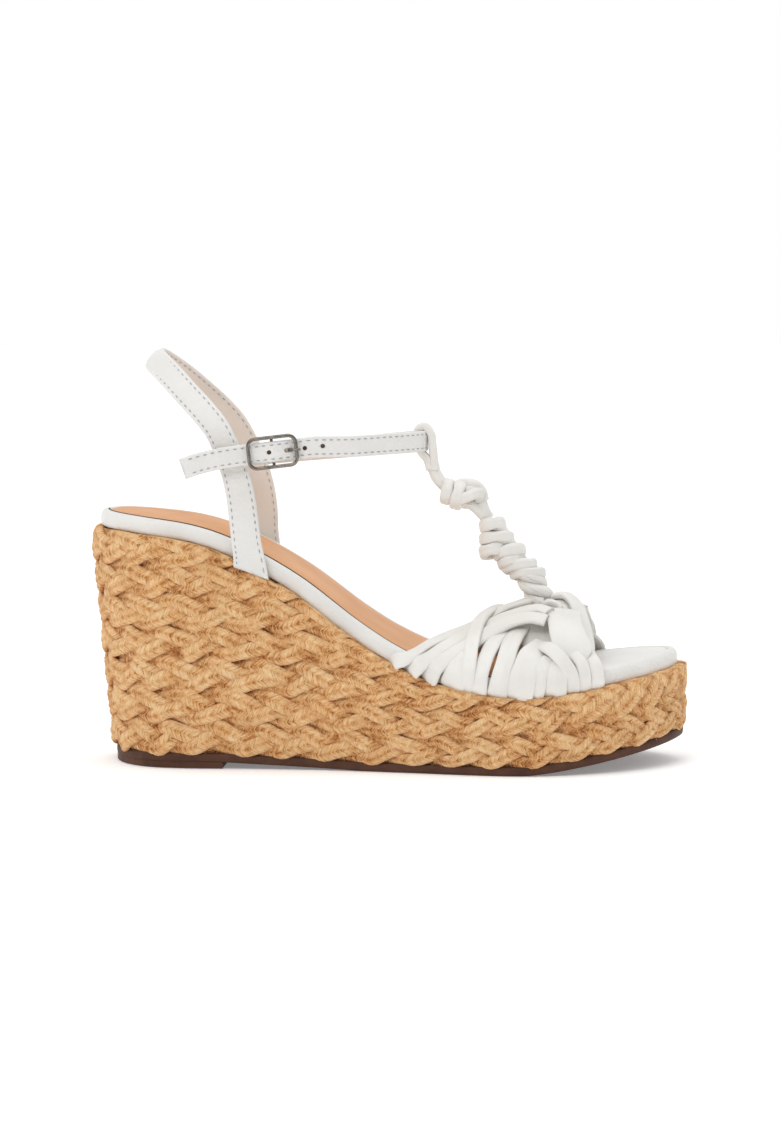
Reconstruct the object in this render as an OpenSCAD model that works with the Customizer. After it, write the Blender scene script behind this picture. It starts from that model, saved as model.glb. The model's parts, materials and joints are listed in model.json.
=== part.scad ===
// Wedge sandal for the right foot, size EU 37.
// +X points to the toe, +Y to the inner (medial) side of the foot, +Z up.
// The sandal is drawn with the back of the heel at x = 0, then moved so that the
// origin is the centre of its footprint on the ground.

/* [Sole] */
// Thickness of the rubber outsole
sole_thickness = 3.3; // [2.5:0.1:4]
// Thickness of the extra rubber lift under the heel
lift_thickness = 2.4; // [1.5:0.1:3]
// Where the heel lift ends, from the back of the heel
lift_length = 52; // [40:1:60]
// Height that the toe end of the sole springs up
toe_spring = 10.4; // [6:0.2:12]

/* [Jute wedge] */
// Number of braided jute courses at the heel
course_count = 7; // [7:1:7]
// Height of one braided course at the heel
course_pitch = 12.06; // [11.8:0.02:12.2]
// Thickness of the jute braid
braid_thickness = 6; // [4:0.5:8]
// How far the back of the heel leans in from its top to its foot
heel_lean = 8; // [4:0.5:10]

/* [Footbed] */
// How far the footbed edge stands back from the face of the jute
footbed_inset = 3.2; // [2:0.2:4]
// Height of the white edge binding
binding_height = 6; // [5:0.2:7]
// Width of the edge binding, seen from above
binding_width = 3; // [2:0.2:4]
// Thickness of the insole board
board_thickness = 3.2; // [2:0.2:4]
// Thickness of the foam under the sock
foam_thickness = 1.6; // [1:0.2:2]
// Thickness of the sock lining and of the toe cover
sock_thickness = 1.6; // [1:0.2:2]
// Where the tan sock stops and the white toe cover starts
sock_end = 170; // [160:1:178]

/* [Straps] */
// Width of the heel strap behind the ankle
heel_strap_width = 10; // [8:0.5:12]
// Width of the ankle strap
ankle_strap_width = 8; // [7:0.5:9]
// Thickness of the outer leather of a strap
leather = 1.1; // [0.9:0.1:1.2]
// Thickness of the lining leather of a strap
lining = 0.7; // [0.5:0.1:0.8]
// Thickness of the soft straps that make the vamp
vamp_thickness = 2.2; // [1.6:0.1:2.6]
// Distance between the punched holes
hole_pitch = 6.8; // [6.4:0.1:7.2]
// Diameter of a punched hole
hole_diameter = 1.7; // [1.4:0.1:2]

/* [Buckle] */
// Outer length of the buckle frame, along the strap
buckle_length = 19.8; // [18:0.2:21]
// Outer width of the buckle frame, across the strap
buckle_width = 12.8; // [12.8:0.2:14]
// Diameter of the frame wire
wire = 1.6; // [1.4:0.1:1.7]
// Diameter of the bar that the prong turns on
bar = 1.2; // [1.1:0.1:1.2]
// Diameter of the prong wire
prong_wire = 1; // [0.8:0.1:1]

/* [T-bar] */
// Diameter of the rolled leather cord
cord = 5.2; // [4.8:0.1:5.2]
// Number of turns wrapped round the lower cord
wrap_turns = 6; // [4:1:6]

/* [Hidden] */
$fn = 48;

white = [0.93, 0.93, 0.92];
tan = [0.85, 0.6, 0.42];
jute = [0.84, 0.66, 0.42];
rubber = [0.4, 0.25, 0.18];
metal = [0.78, 0.77, 0.74];
beige = [0.87, 0.78, 0.68];

// ---------- curves ----------
function unit(v) = v / norm(v);
function cubic(a, b, c, d, t) =
  0.5 * (2 * b + (c - a) * t + (2 * a - 5 * b + 4 * c - d) * t * t + (3 * b - a - 3 * c + d) * t * t * t);
function curve(p, n) = let (k = len(p) - 1) concat(
  [for (i = [0:k - 1], s = [0:n - 1]) cubic(p[max(i - 1, 0)], p[i], p[i + 1], p[min(i + 2, k)], s / n)],
  [p[k]]);
function loop_curve(p, n) = let (k = len(p))
  [for (i = [0:k - 1], s = [0:n - 1])
    cubic(p[(i + k - 1) % k], p[i], p[(i + 1) % k], p[(i + 2) % k], s / n)];
function reverse(p) = [for (i = [len(p) - 1:-1:0]) p[i]];
function column(p, i) = [for (q = p) q[i]];

// ---------- plan outline, at the top of the heel ----------
footprint = loop_curve([
  [-2, 0], [3, -17], [15, -28.5], [32, -33], [60, -33.5], [92, -34.5], [122, -39.5], [150, -45],
  [166, -46], [182, -43.5], [200, -35.5], [215, -23], [225, -8], [229, 7], [226, 19], [215, 32],
  [200, 39.5], [180, 43], [158, 42.5], [130, 38], [102, 33.5], [78, 31], [52, 31.5], [30, 32],
  [13, 27], [2, 16]], 3);
function inset(p, d) = let (k = len(p))
  [for (i = [0:k - 1]) let (t = unit(p[(i + 1) % k] - p[(i + k - 1) % k])) p[i] - d * [t[1], -t[0]]];
// The heel leans in towards the ground: no shift at the top, heel_lean at the bottom
lean_top = 84;
lean_reach = 45;
function leaned(p, z) = let (s = heel_lean * max(0, lean_top - z) / lean_top)
  [for (q = p) [q[0] + s * max(0, 1 - (q[0] + 2) / lean_reach), q[1]]];
centre = [(max(column(footprint, 0)) + min(column(footprint, 0))) / 2,
          (max(column(footprint, 1)) + min(column(footprint, 1))) / 2];
footbed = inset(footprint, footbed_inset);
footbed_inner = inset(footprint, footbed_inset + binding_width);

// ---------- side profile: heights along the length ----------
flat_end = 168;
sole_end = 228;
function spring(x) = x <= flat_end ? 0 : toe_spring * pow((x - flat_end) / (sole_end - flat_end), 1.25);
function heel_rise(x) = lift_thickness * min(1, max(0, (105 - x) / (105 - lift_length)));
function sole_under(x) = spring(x) + heel_rise(x);
function sole_top(x) = sole_under(x) + sole_thickness;
function pitch_at(x) = course_pitch - 1.6 * exp(-pow((x - 130) / 28, 2));
jute_top = curve([
  [-8, 92], [0, 91.4], [20, 89.6], [40, 86.6], [57, 80.4], [78, 68.6], [99, 52.8], [115, 42.7],
  [132, 35.3], [152, 31], [170, 29.8], [188, 32.2], [207, 34.7], [236, 39.2]], 4);
function raised(p, d) = [for (i = [0:len(p) - 1])
  let (t = unit(p[min(i + 1, len(p) - 1)] - p[max(i - 1, 0)])) p[i] + d * [-t[1], t[0]]];
function top_at(x) = lookup(x, jute_top);
stations = [for (x = [-8:6:50]) x, lift_length, for (x = [58:6:104]) x, 105,
            for (x = [112:8:164]) x, flat_end, for (x = [173:5:238]) x];

module home() translate([-centre[0], -centre[1], 0]) children();
module between(lower, upper) rotate([90, 0, 0])
  linear_extrude(height = 140, center = true) polygon(concat(lower, reverse(upper)));
module level(lower_offset, upper_offset)
  between(raised(jute_top, lower_offset), raised(jute_top, upper_offset));
module plan(p) linear_extrude(height = 110) polygon(p);

// ---------- sole and wedge ----------
module heel_lift() color(rubber) home() intersection() {
  translate([0, 0, -1]) plan(inset(leaned(footprint, 0), 1.2));
  between([[-10, 0], [lift_length, 0]], [[-10, lift_thickness], [lift_length, lift_thickness]]);
}
module outsole() color(rubber) home() intersection() {
  translate([0, 0, -1]) plan(inset(leaned(footprint, 0), 1));
  between([for (x = stations) [x, sole_under(x)]], [for (x = stations) [x, sole_top(x)]]);
}
// At the toe the third course runs out, and the second reaches the top
toe_rise = 5;
function course_top(i) = [for (x = stations)
  [x, sole_top(x) + i * pitch_at(x) + (i == 2 ? toe_rise * min(1, max(0, (x - 182) / 8)) : 0)]];
function course_low(i) = course_top(i - 1);
function course_high(i) = i == course_count ? [[-8, 110], [240, 110]] : course_top(i);
module under_top() between([[-8, -1], [236, -1]], jute_top);
function course_outline(i) = leaned(footprint, sole_top(0) + (i - 0.5) * course_pitch);
module jute_course(i) color(jute) home() intersection() {
  difference() {
    plan(course_outline(i));
    translate([0, 0, -1]) linear_extrude(height = 112) polygon(inset(course_outline(i), braid_thickness));
  }
  between(course_low(i), course_high(i));
  under_top();
}
module wedge_core() color([0.8, 0.7, 0.55]) home() intersection() {
  union() for (i = [1:course_count]) intersection() {
    plan(inset(course_outline(i), braid_thickness));
    between(course_low(i), course_high(i));
  }
  under_top();
}

// ---------- footbed ----------
board_top = board_thickness;
foam_top = board_top + foam_thickness;
sock_top = foam_top + sock_thickness;
module insole_board() color([0.7, 0.6, 0.45]) home() intersection() {
  plan(footbed_inner);
  level(0, board_top);
}
module insole_foam() color([0.9, 0.88, 0.7]) home() intersection() {
  plan(footbed_inner);
  level(board_top, foam_top);
}
module sock_lining() color(tan) home() intersection() {
  plan(footbed_inner);
  level(foam_top, sock_top);
  translate([-10, -60, 0]) cube([sock_end + 10, 120, 110]);
}
module toe_cover() color(white) home() intersection() {
  plan(footbed_inner);
  level(foam_top, sock_top);
  translate([sock_end, -60, 0]) cube([80, 120, 110]);
}
module edge_binding() color(white) home() intersection() {
  difference() {
    plan(footbed);
    translate([0, 0, -1]) linear_extrude(height = 112) polygon(footbed_inner);
  }
  level(0, binding_height);
}

// ---------- swept bands and cords ----------
// A section is a list of [across, outward] points; a path carries one outward normal each point
function slab(w, low, high) = [[-w / 2, low], [w / 2, low], [w / 2, high], [-w / 2, high]];
function pillow(w, t) = let (c = t * 0.32)
  [[-w / 2, -t / 2 + c], [-w / 2 + c, -t / 2], [w / 2 - c, -t / 2], [w / 2, -t / 2 + c],
   [w / 2, t / 2 - c], [w / 2 - c, t / 2], [-w / 2 + c, t / 2], [-w / 2, t / 2 - c]];
function ring_section(r, n) = [for (i = [0:n - 1]) r * [cos(360 * i / n), sin(360 * i / n)]];
module sweep(path, normals, sections) {
  n = len(path);
  m = len(sections[0]);
  points = [for (i = [0:n - 1])
    let (t = unit(path[min(i + 1, n - 1)] - path[max(i - 1, 0)]),
         b = unit(cross(t, normals[i])), k = cross(b, t))
    for (s = sections[i]) path[i] + b * s[0] + k * s[1]];
  sides = [for (i = [0:n - 2], j = [0:m - 1], half = [0, 1])
    let (a = i * m + j, b = i * m + (j + 1) % m) half == 0 ? [a, b + m, a + m] : [a, b, b + m]];
  caps = [[for (j = [m - 1:-1:0]) j], [for (j = [0:m - 1]) (n - 1) * m + j]];
  polyhedron(points = points, faces = concat(sides, caps), convexity = 6);
}

// ---------- buckle frame of reference: u along the strap, v up, w outwards ----------
buckle_at = [72, -36.2, 121.4];
buckle_yaw = 5;
buckle_tilt = 6.5;
axis_u = [cos(buckle_tilt) * cos(buckle_yaw), cos(buckle_tilt) * sin(buckle_yaw), sin(buckle_tilt)];
axis_w = [sin(buckle_yaw), -cos(buckle_yaw), 0];
axis_v = cross(axis_w, axis_u);
function at_buckle_point(u, v, w) = buckle_at + u * axis_u + v * axis_v + w * axis_w;
module at_buckle() translate(buckle_at)
  rotate([0, 0, buckle_yaw]) rotate([0, -buckle_tilt, 0]) rotate([90, 0, 0]) children();

// ---------- heel strap ----------
heel_half = [
  [[63, -31.7, 76.5], [0, -1, 0], 1.5], [[61.6, -32, 86], [0, -1, 0], 1.4],
  [[60.6, -31.8, 95], [0, -1, 0], 1.2], [[59.2, -31.4, 105], [0, -1, 0.05], 0.8],
  [[56.3, -30.6, 116], [-0.05, -1, 0.1], 0.4], [[51, -28.4, 128], [-0.12, -0.95, 0.25], 0],
  [[45.5, -25.6, 135], [-0.16, -0.92, 0.35], 0], [[38.5, -21.5, 142], [-0.3, -0.8, 0.45], 0],
  [[30.5, -14.5, 149.5], [-0.5, -0.55, 0.6], 0], [[24, -5, 154.8], [-0.68, -0.2, 0.68], 0]];
// How far back the inner half stands at the same heights
inner_back = [1.1, 0, -0.8, -0.8, -0.4, 0, 0, 0, 0, 0];
function mirrored(h, back) = [[h[0][0] - back, -h[0][1], h[0][2]], [h[1][0], -h[1][1], h[1][2]], h[2]];
inner_half = [for (i = [0:len(heel_half) - 1]) mirrored(heel_half[i], inner_back[i])];
heel_route = concat(heel_half, reverse(inner_half));
heel_path = curve(column(heel_route, 0), 3);
heel_normals = curve(column(heel_route, 1), 3);
heel_extra = curve(column(heel_route, 2), 3);
module heel_strap() color(white) home()
  sweep(heel_path, heel_normals, [for (e = heel_extra) slab(heel_strap_width + e, 0, leather)]);
module heel_strap_lining() color(beige) home()
  sweep(heel_path, heel_normals, [for (e = heel_extra) slab(heel_strap_width + e, -lining, 0)]);

// ---------- ankle strap: the inner end, round the front, then through the buckle ----------
// The strap lies this far below the frame, so the frame can tilt a little
frame_play = 0.6;
under_bars = -wire / 2 - frame_play - leather;
over_bar = under_bars + 1.2;
tail_start = -11.2;
tail_gap = 0.3;
ankle_route = concat(
  [[[49, 32.4, 115.2], [0, 1, 0]], [[62, 33, 116.6], [0, 1, 0]], [[80, 31.5, 118.4], [0.1, 1, 0]],
   [[100, 25.5, 120.4], [0.4, 0.9, 0]], [[116, 15, 122.6], [0.7, 0.7, 0]],
   [[125.5, 5.5, 123.8], [0.93, 0.35, 0]], [[127.6, 0, 124.1], [1, 0, 0]],
   [[125.5, -5.5, 124], [0.93, -0.35, 0]], [[117.5, -15, 123.8], [0.7, -0.7, 0]],
   [[101, -27, 123.2], [0.4, -0.92, 0]]],
  [for (p = [[16, under_bars], [9.1, under_bars], [4.5, under_bars + 0.6], [0, over_bar],
             [-4.5, under_bars + 0.6], [-9.1, under_bars], [tail_start + tail_gap, under_bars]])
    [at_buckle_point(p[0], 0, p[1]), axis_w]]);
ankle_path = curve(column(ankle_route, 0), 3);
ankle_normals = curve(column(ankle_route, 1), 3);
// The prong's own hole is pulled long; the others are round
first_hole = 5.5;
prong_hole = first_hole + 0.65;
module punched_holes(rows) at_buckle() {
  for (k = rows) translate([first_hole + k * hole_pitch, 0, -8]) cylinder(d = hole_diameter, h = 12);
}
module prong_slot() at_buckle() for (s = [-1, 1]) translate([prong_hole + s * 0.85, 0, -8])
  cylinder(d = hole_diameter, h = 12);
module prong_slot_middle() at_buckle()
  translate([prong_hole - 0.85, -hole_diameter / 2, -8]) cube([1.7, hole_diameter, 12]);
module ankle_layer(low, high) difference() {
  sweep(ankle_path, ankle_normals, [for (p = ankle_path) slab(ankle_strap_width, low, high)]);
  punched_holes([-1, 1, 2]);
  prong_slot();
  prong_slot_middle();
}
module ankle_strap() color(white) home() ankle_layer(0, leather);
module ankle_strap_lining() color(beige) home() ankle_layer(-lining, 0);

tail_route = [for (p = [[tail_start, 0], [-20, -0.3], [-28, -1.2], [-34.6, -2.6]])
  at_buckle_point(p[0], p[1], under_bars)];
tail_path = curve(tail_route, 4);
module tail_layer(low, high)
  sweep(tail_path, [for (p = tail_path) axis_w], [for (p = tail_path) slab(ankle_strap_width, low, high)]);
module strap_tail() color(white) home() tail_layer(0, leather);
module strap_tail_lining() color(beige) home() tail_layer(-lining, 0);

// ---------- buckle ----------
bar_depth = over_bar - lining - 0.05 - 1.4;
frame_u = (buckle_length - wire) / 2;
frame_v = (buckle_width - wire) / 2;
corner = 2.2;
module rod(a, b, d) translate(a) rotate([0, acos((b - a)[2] / norm(b - a)), atan2((b - a)[1], (b - a)[0])])
  cylinder(d = d, h = norm(b - a));
module buckle_frame() color(metal) home() at_buckle() {
  for (s = [-1, 1]) {
    rod([-frame_u + corner, s * frame_v, 0], [frame_u - corner, s * frame_v, 0], wire);
    rod([s * frame_u, -frame_v + corner, 0], [s * frame_u, frame_v - corner, 0], wire);
    rod([0, s * frame_v, bar_depth], [0, s * frame_v, 0], bar);
    translate([0, s * frame_v, bar_depth]) sphere(d = bar);
  }
  for (q = [0:3]) let (sx = (q == 0 || q == 3) ? 1 : -1, sy = q < 2 ? 1 : -1)
    translate([sx * (frame_u - corner), sy * (frame_v - corner), 0])
      rotate([0, 0, 90 * q]) rotate_extrude(angle = 90) translate([corner, 0]) circle(d = wire);
  rod([0, -frame_v, bar_depth], [0, frame_v, bar_depth], bar);
}
// The prong dips below the strap, comes up through its hole and rests on the front bar
prong_rest = wire / 2 + prong_wire / 2 + 0.05;
prong_path = curve([for (p = [[0.95, bar_depth - 0.3], [2.8, bar_depth - 0.85], [4.9, bar_depth - 0.7],
  [6.1, bar_depth + 1.1], [6.9, bar_depth + 3], [7.9, prong_rest - 0.35], [frame_u, prong_rest],
  [frame_u + 1.7, prong_rest - 0.1]]) [p[0], 0, p[1]]], 3);
ring_outer = 1.35;
module buckle_prong() color(metal) home() at_buckle() {
  difference() {
    translate([0, 0, bar_depth]) rotate([90, 0, 0]) cylinder(r = ring_outer, h = 1.2, center = true);
    translate([0, 0, bar_depth]) rotate([90, 0, 0]) cylinder(d = bar + 0.1, h = 3, center = true);
  }
  sweep(prong_path, [for (p = prong_path) [0, 1, 0]], [for (p = prong_path) ring_section(prong_wire / 2, 8)]);
}
tab_width = 6.4;
module buckle_tab() color(white) home() at_buckle() difference() {
  translate([0, tab_width / 2, bar_depth]) rotate([90, 0, 0])
  linear_extrude(height = tab_width) difference() {
    polygon(concat([for (a = [-95:19:95]) 1.35 * [cos(a), sin(a)]],
                   [[-6, -0.2], [-19, -0.5], [-19, -2], [-6, -1.8]]));
    circle(d = bar + 0.1);
  }
  translate([-1.8, -0.9, bar_depth - 3]) cube([4, 1.8, 6]);
}

// ---------- T-bar ----------
loop_route = [
  [[131.6, 0, 112.6], [1, 0, 0.1]], [[131.5, 0, 117], [1, 0, 0]], [[130.8, 0, 122.5], [1, 0, 0.1]],
  [[130, 0, 126.8], [0.9, 0, 0.4]], [[127.6, 0, 129.7], [0.1, 0, 1]], [[124.9, 0, 128], [-0.8, 0, 0.6]],
  [[124.3, 0, 123], [-1, 0, 0]], [[125.8, 0, 117.5], [-0.9, 0, -0.3]], [[128.8, 0, 112.8], [-0.8, 0, -0.5]]];
loop_path = curve(column(loop_route, 0), 3);
loop_normals = curve(column(loop_route, 1), 3);
module tbar_loop() color(white) home()
  sweep(loop_path, loop_normals, [for (p = loop_path) pillow(5.4, 1.6)]);
cord_top = [130.6, 0, 112.4];
knot_from = [134.2, 0, 104.8];
knot_to = [149.2, 0, 102.8];
wrap_from = [152.8, 0, 94.4];
wrap_to = [168.2, 0, 70.6];
cord_end = [172.6, 0, 65];
// Squeezed thinner where the knot and the wraps hold it
knot_wire = 4.4;
wrap_wire = norm(wrap_to - wrap_from) / wrap_turns;
cord_in_knot = 3;
cord_in_wraps = 4.2;
cord_stations = concat(
  [for (p = curve([cord_top, [132.4, 0, 108.6], knot_from + [1, 0, 0]], 3)) [p, cord]],
  [[knot_from + [2, 0, 0], cord_in_knot], [knot_to - [2, 0, 0], cord_in_knot]],
  [for (p = curve([knot_to - [0.4, 0, 1.6], [150.6, 0, 98.6], wrap_from - [0.6, 0, -1]], 3)) [p, cord]],
  [[wrap_from + [1, 0, -1.6], cord_in_wraps], [wrap_to, cord_in_wraps]],
  [for (p = curve([wrap_to + [0.9, 0, -1.2], [171, 0, 67.2], cord_end], 3)) [p, cord]]);
module tbar_cord() color(white) home() sweep(column(cord_stations, 0), [for (q = cord_stations) [0, 1, 0]],
  [for (q = cord_stations) ring_section(q[1] / 2, 12)]);
module round_cord(at, along, ring, d) translate(at)
  rotate([0, acos(unit(along)[2]), atan2(along[1], along[0])])
    rotate_extrude() translate([ring, 0]) circle(d = d);
module tbar_knot() color(white) home() for (k = [0.16, 0.5, 0.84])
  round_cord(knot_from + k * (knot_to - knot_from), knot_to - knot_from,
             (cord_in_knot + knot_wire) / 2 + 0.05, knot_wire);
module tbar_wraps() color(white) home() for (k = [0:wrap_turns - 1])
  round_cord(wrap_from + (k + 0.5) / wrap_turns * (wrap_to - wrap_from), wrap_to - wrap_from,
             (cord_in_wraps + wrap_wire) / 2 - 0.35, wrap_wire - 0.04);

// ---------- vamp: soft straps from the footbed edge up to the knot ----------
// Half width of the footbed at x, on the outer (-1) or inner (+1) side. A strap comes up out of the
// joint between the jute and the edge binding, outside the binding.
lateral_edge = [[100, -33.4], [122, -36.4], [150, -41.8], [166, -42.8], [182, -40.4], [200, -33], [210, -26]];
medial_edge = [[100, 30], [130, 34.8], [158, 39.2], [180, 39.8], [200, 36.6], [215, 29.5]];
function edge_point(x, side) = let (y = lookup(x, side < 0 ? lateral_edge : medial_edge))
  [x, y + side * (vamp_thickness / 2 + 0.15), top_at(x) - 0.8];
// The inner side starts further forward and lower, the more so towards the back, and level at the toe
medial_forward = 3;
medial_drop = 2.4;
function toward_back(x) = min(1, max(0, (160 - x) / 30));
function medial_x(x) = x + medial_forward * (1 + toward_back(x) - min(1, max(0, (x - 180) / 8)));
function to_medial(p) = let (x = medial_x(p[0]))
  [x, -p[1] * lookup(x, medial_edge) / abs(lookup(p[0], lateral_edge)),
   p[2] - medial_drop * toward_back(p[0])];
// The straps lie on a dome over the toes, with this height along its ridge
ridge = [[104, 50.5], [114, 48], [125, 50], [137, 53.5], [150, 57], [160, 59.5], [170, 61.5], [178, 62.3],
         [186, 60], [194, 52.5], [204, 47]];
dome_power = 1.7;
function dome_y(x, z) = let (low = top_at(x) + 5, s = min(1, max(0, (z - low) / (lookup(x, ridge) - low))))
  (lookup(x, lateral_edge) - 1.3) * pow(1 - pow(s, dome_power), 1 / dome_power);
function dome_normal(p) = unit([(p[0] - 170) * 0.4, p[1], (p[2] - 28) * 1.2]);
// A point on the dome at x and height z, lifted off it where one strap passes over another
function on_dome(q) = let (p = [q[0], dome_y(q[0], q[1]), q[1]]) p + q[2] * dome_normal(p);
// Each strap: where it leaves the edge, its width, and its [x, height, lift] on the way up.
// The last one starts inside the others, on the toe cover.
straps = [
  [118, 5, [[122, 43.2, 0], [126, 45.2, 0], [132, 48.2, 0], [138.6, 50.8, 0], [145, 53, 0],
              [151.5, 55.8, 0.3], [158.5, 58.6, 0.9], [166, 60.4, 1.6], [172, 61.8, 1.6], [177, 62.8, 1.6]]],
  [124.5, 5.4, [[128, 41.5, 0], [131.8, 43.9, 0], [136, 46.6, 0], [141, 49.2, 0], [147, 51.8, 0],
                [154, 54.8, 0.2], [162, 57.3, 1], [171, 59, 1.6], [176.5, 58.4, 1.2]]],
  [131, 6, [[133.6, 40.2, 0], [136.8, 42.6, 0], [140, 44.6, 0], [144, 46.8, 0], [148.4, 49.2, 0],
            [152.5, 51.4, 0.2], [157, 53.3, 1], [163, 55.3, 1.6], [169.3, 56.3, 1.8], [175.4, 56, 1]]],
  [140.4, 7, [[141.3, 38, 0], [143.4, 41.4, 0], [146.6, 44.8, -0.4]]],
  [145.8, 5, [[146.6, 38, 0.6], [147.3, 42.4, 1.6], [148.1, 47.7, 2.2], [149.6, 53, 2.4], [152.2, 56, 2.2],
              [156, 58.6, 1]]],
  [150.2, 5.6, [[151.2, 38, 0], [152.3, 42, 0], [154.1, 46.5, -0.2],
                [156.2, 50.2, -0.8], [159, 54.2, -1.6], [161.6, 57, -2.4]]],
  [157.2, 6.6, [[159.1, 38.5, 0], [160.7, 43.8, 0], [161.9, 48.5, -0.6],
                [163.6, 52.4, -1.6], [165.4, 56, -2.6]]],
  [165.6, 9.4, [[167.3, 38, 0], [168.8, 42.4, -0.2], [170.4, 45.6, -0.8],
                [172.4, 48.6, -2], [175, 52, -3.2]]],
  [171.8, 5.2, [[173.6, 37.6, 0], [175.2, 41.2, -0.4], [176.8, 44.2, -1.6]]],
  [179.1, 7.4, [[180, 37, 0], [180.8, 40, -0.4], [181.2, 42.4, -1.2]]],
  [185.8, 5, [[185.4, 36.8, 0.2], [183.7, 40.5, 0.8], [180.3, 44.5, 1.2], [175.8, 48.2, 0.4],
              [172.6, 51, -1.6]]],
  [190, 4.6, [[190, 38, 0.3], [188.8, 42, 0.2], [186.4, 45.2, -0.8], [184, 47.6, -2]]],
  [194.9, 5, [[194.8, 37.6, 0], [194.2, 41, 0], [192, 44.8, -0.8], [189.4, 47.6, -2]]],
  [undef, 13, [[186.8, 43, -2], [185.8, 46.6, -0.8], [184.4, 50, 0.2], [183, 53.4, 0.7], [182, 56.6, 0.8],
               [181.4, 59.4, 0]]]];
function strap_foot(x, side) = x == undef ? [] : [edge_point(x, side)];
function lateral_path(s) = curve(concat(strap_foot(s[0], -1), [for (q = s[2]) on_dome(q)]), 3);
// On the inner side the straps that reach the knot stop a little short of it
function medial_path(s) = let (k = len(s[2]), last = k > 8 ? k - 2 : k - 1)
  curve(concat(strap_foot(s[0] == undef ? undef : medial_x(s[0]), 1),
               [for (i = [0:last]) to_medial(on_dome(s[2][i]))]), 3);
module vamp_strap(i, side) color(white) home()
  let (s = straps[i - 1], p = side < 0 ? lateral_path(s) : medial_path(s))
  sweep(p, [for (q = p) dome_normal(q)], [for (q = p) pillow(s[1], vamp_thickness)]);
module vamp_knot() color(white) home() {
  sweep(curve([[174, 3, 63], [178, 0, 65], [183, -2, 65.2], [187, -3.5, 62], [188.6, -5.5, 57]], 3),
        [for (i = [0:12]) unit([0.3 + i * 0.06, -0.2, 1])], [for (i = [0:12]) pillow(5.6, 2.6)]);
}

heel_lift();
outsole();
wedge_core();
for (i = [1:course_count]) jute_course(i);
insole_board();
insole_foam();
sock_lining();
toe_cover();
edge_binding();
heel_strap();
heel_strap_lining();
ankle_strap();
ankle_strap_lining();
buckle_tab();
tbar_loop();
tbar_cord();
tbar_knot();
tbar_wraps();
vamp_knot();
for (i = [1:len(straps)]) vamp_strap(i, -1);
for (i = [1:len(straps)]) vamp_strap(i, 1);
strap_tail();
strap_tail_lining();
buckle_frame();
buckle_prong();
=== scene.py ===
# Wedge sandal: the looks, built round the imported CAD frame.
# Everything is worked out in millimetres with the back of the heel at x = 0, as the part is
# drawn, and moved to the frame's own origin (the centre of the footprint) in metres at the end.
import json
import math

import bpy
import numpy as np
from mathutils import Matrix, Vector


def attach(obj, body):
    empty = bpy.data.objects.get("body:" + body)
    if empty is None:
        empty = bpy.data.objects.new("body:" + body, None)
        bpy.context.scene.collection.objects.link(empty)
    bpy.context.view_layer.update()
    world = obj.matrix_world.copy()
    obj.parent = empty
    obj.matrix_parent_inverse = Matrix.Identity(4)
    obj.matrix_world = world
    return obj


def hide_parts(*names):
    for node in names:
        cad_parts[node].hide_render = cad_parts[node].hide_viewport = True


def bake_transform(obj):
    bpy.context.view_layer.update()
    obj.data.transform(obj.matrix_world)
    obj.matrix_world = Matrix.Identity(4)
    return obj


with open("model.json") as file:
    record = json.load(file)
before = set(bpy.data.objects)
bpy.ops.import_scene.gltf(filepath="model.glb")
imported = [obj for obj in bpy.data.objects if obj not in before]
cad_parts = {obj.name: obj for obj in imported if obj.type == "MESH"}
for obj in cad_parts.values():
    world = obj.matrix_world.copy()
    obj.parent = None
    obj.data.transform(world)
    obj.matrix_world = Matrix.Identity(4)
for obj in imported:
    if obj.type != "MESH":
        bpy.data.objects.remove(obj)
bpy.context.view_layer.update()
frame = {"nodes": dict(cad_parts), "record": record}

rng = np.random.default_rng(7)


# ---------- curves and profiles
def unit(v):
    """Each vector at a length of 1."""
    v = np.asarray(v, float)
    return v / np.maximum(np.linalg.norm(v, axis=-1, keepdims=True), 1e-12)


def spline(points, steps, closed=False):
    """A smooth (Catmull-Rom) curve through the points, with steps samples to each span."""
    p = np.asarray(points, float)
    k = len(p)
    spans = k if closed else k - 1
    index = (lambda i: i % k) if closed else (lambda i: min(max(i, 0), k - 1))
    t = (np.arange(steps) / steps)[:, None]
    out = []
    for i in range(spans):
        a, b, c, d = (p[index(i + j)] for j in (-1, 0, 1, 2))
        out.append(0.5 * (2 * b + (c - a) * t + (2 * a - 5 * b + 4 * c - d) * t**2
                          + (3 * b - a - 3 * c + d) * t**3))
    if not closed:
        out.append(p[-1:])
    return np.vstack(out)


def distance_along(path):
    return np.concatenate([[0], np.cumsum(np.linalg.norm(np.diff(path, axis=0), axis=1))])


def resample(path, spacing, closed=False):
    """The path again, with points an even spacing apart, and each point's distance along it."""
    p = np.vstack([path, path[:1]]) if closed else path
    run = distance_along(p)
    count = max(2, int(round(run[-1] / spacing)))
    at = np.linspace(0, run[-1], count + 1)
    if closed:
        at = at[:-1]
    return np.stack([np.interp(at, run, p[:, i]) for i in range(p.shape[1])], axis=1), at


FOOTPRINT = spline([
    (-2, 0), (3, -17), (15, -28.5), (32, -33), (60, -33.5), (92, -34.5), (122, -39.5), (150, -45),
    (166, -46), (182, -43.5), (200, -35.5), (215, -23), (225, -8), (229, 7), (226, 19), (215, 32),
    (200, 39.5), (180, 43), (158, 42.5), (130, 38), (102, 33.5), (78, 31), (52, 31.5), (30, 32),
    (13, 27), (2, 16)], 12, closed=True)
CENTRE = (FOOTPRINT.max(0) + FOOTPRINT.min(0)) / 2

JUTE_TOP = spline([
    (-8, 92), (0, 91.4), (20, 89.6), (40, 86.6), (57, 80.4), (78, 68.6), (99, 52.8), (115, 42.7),
    (132, 35.3), (152, 31), (170, 29.8), (188, 32.2), (207, 34.7), (236, 39.2)], 8)

COURSES, COURSE_PITCH = 7, 12.06
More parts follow.
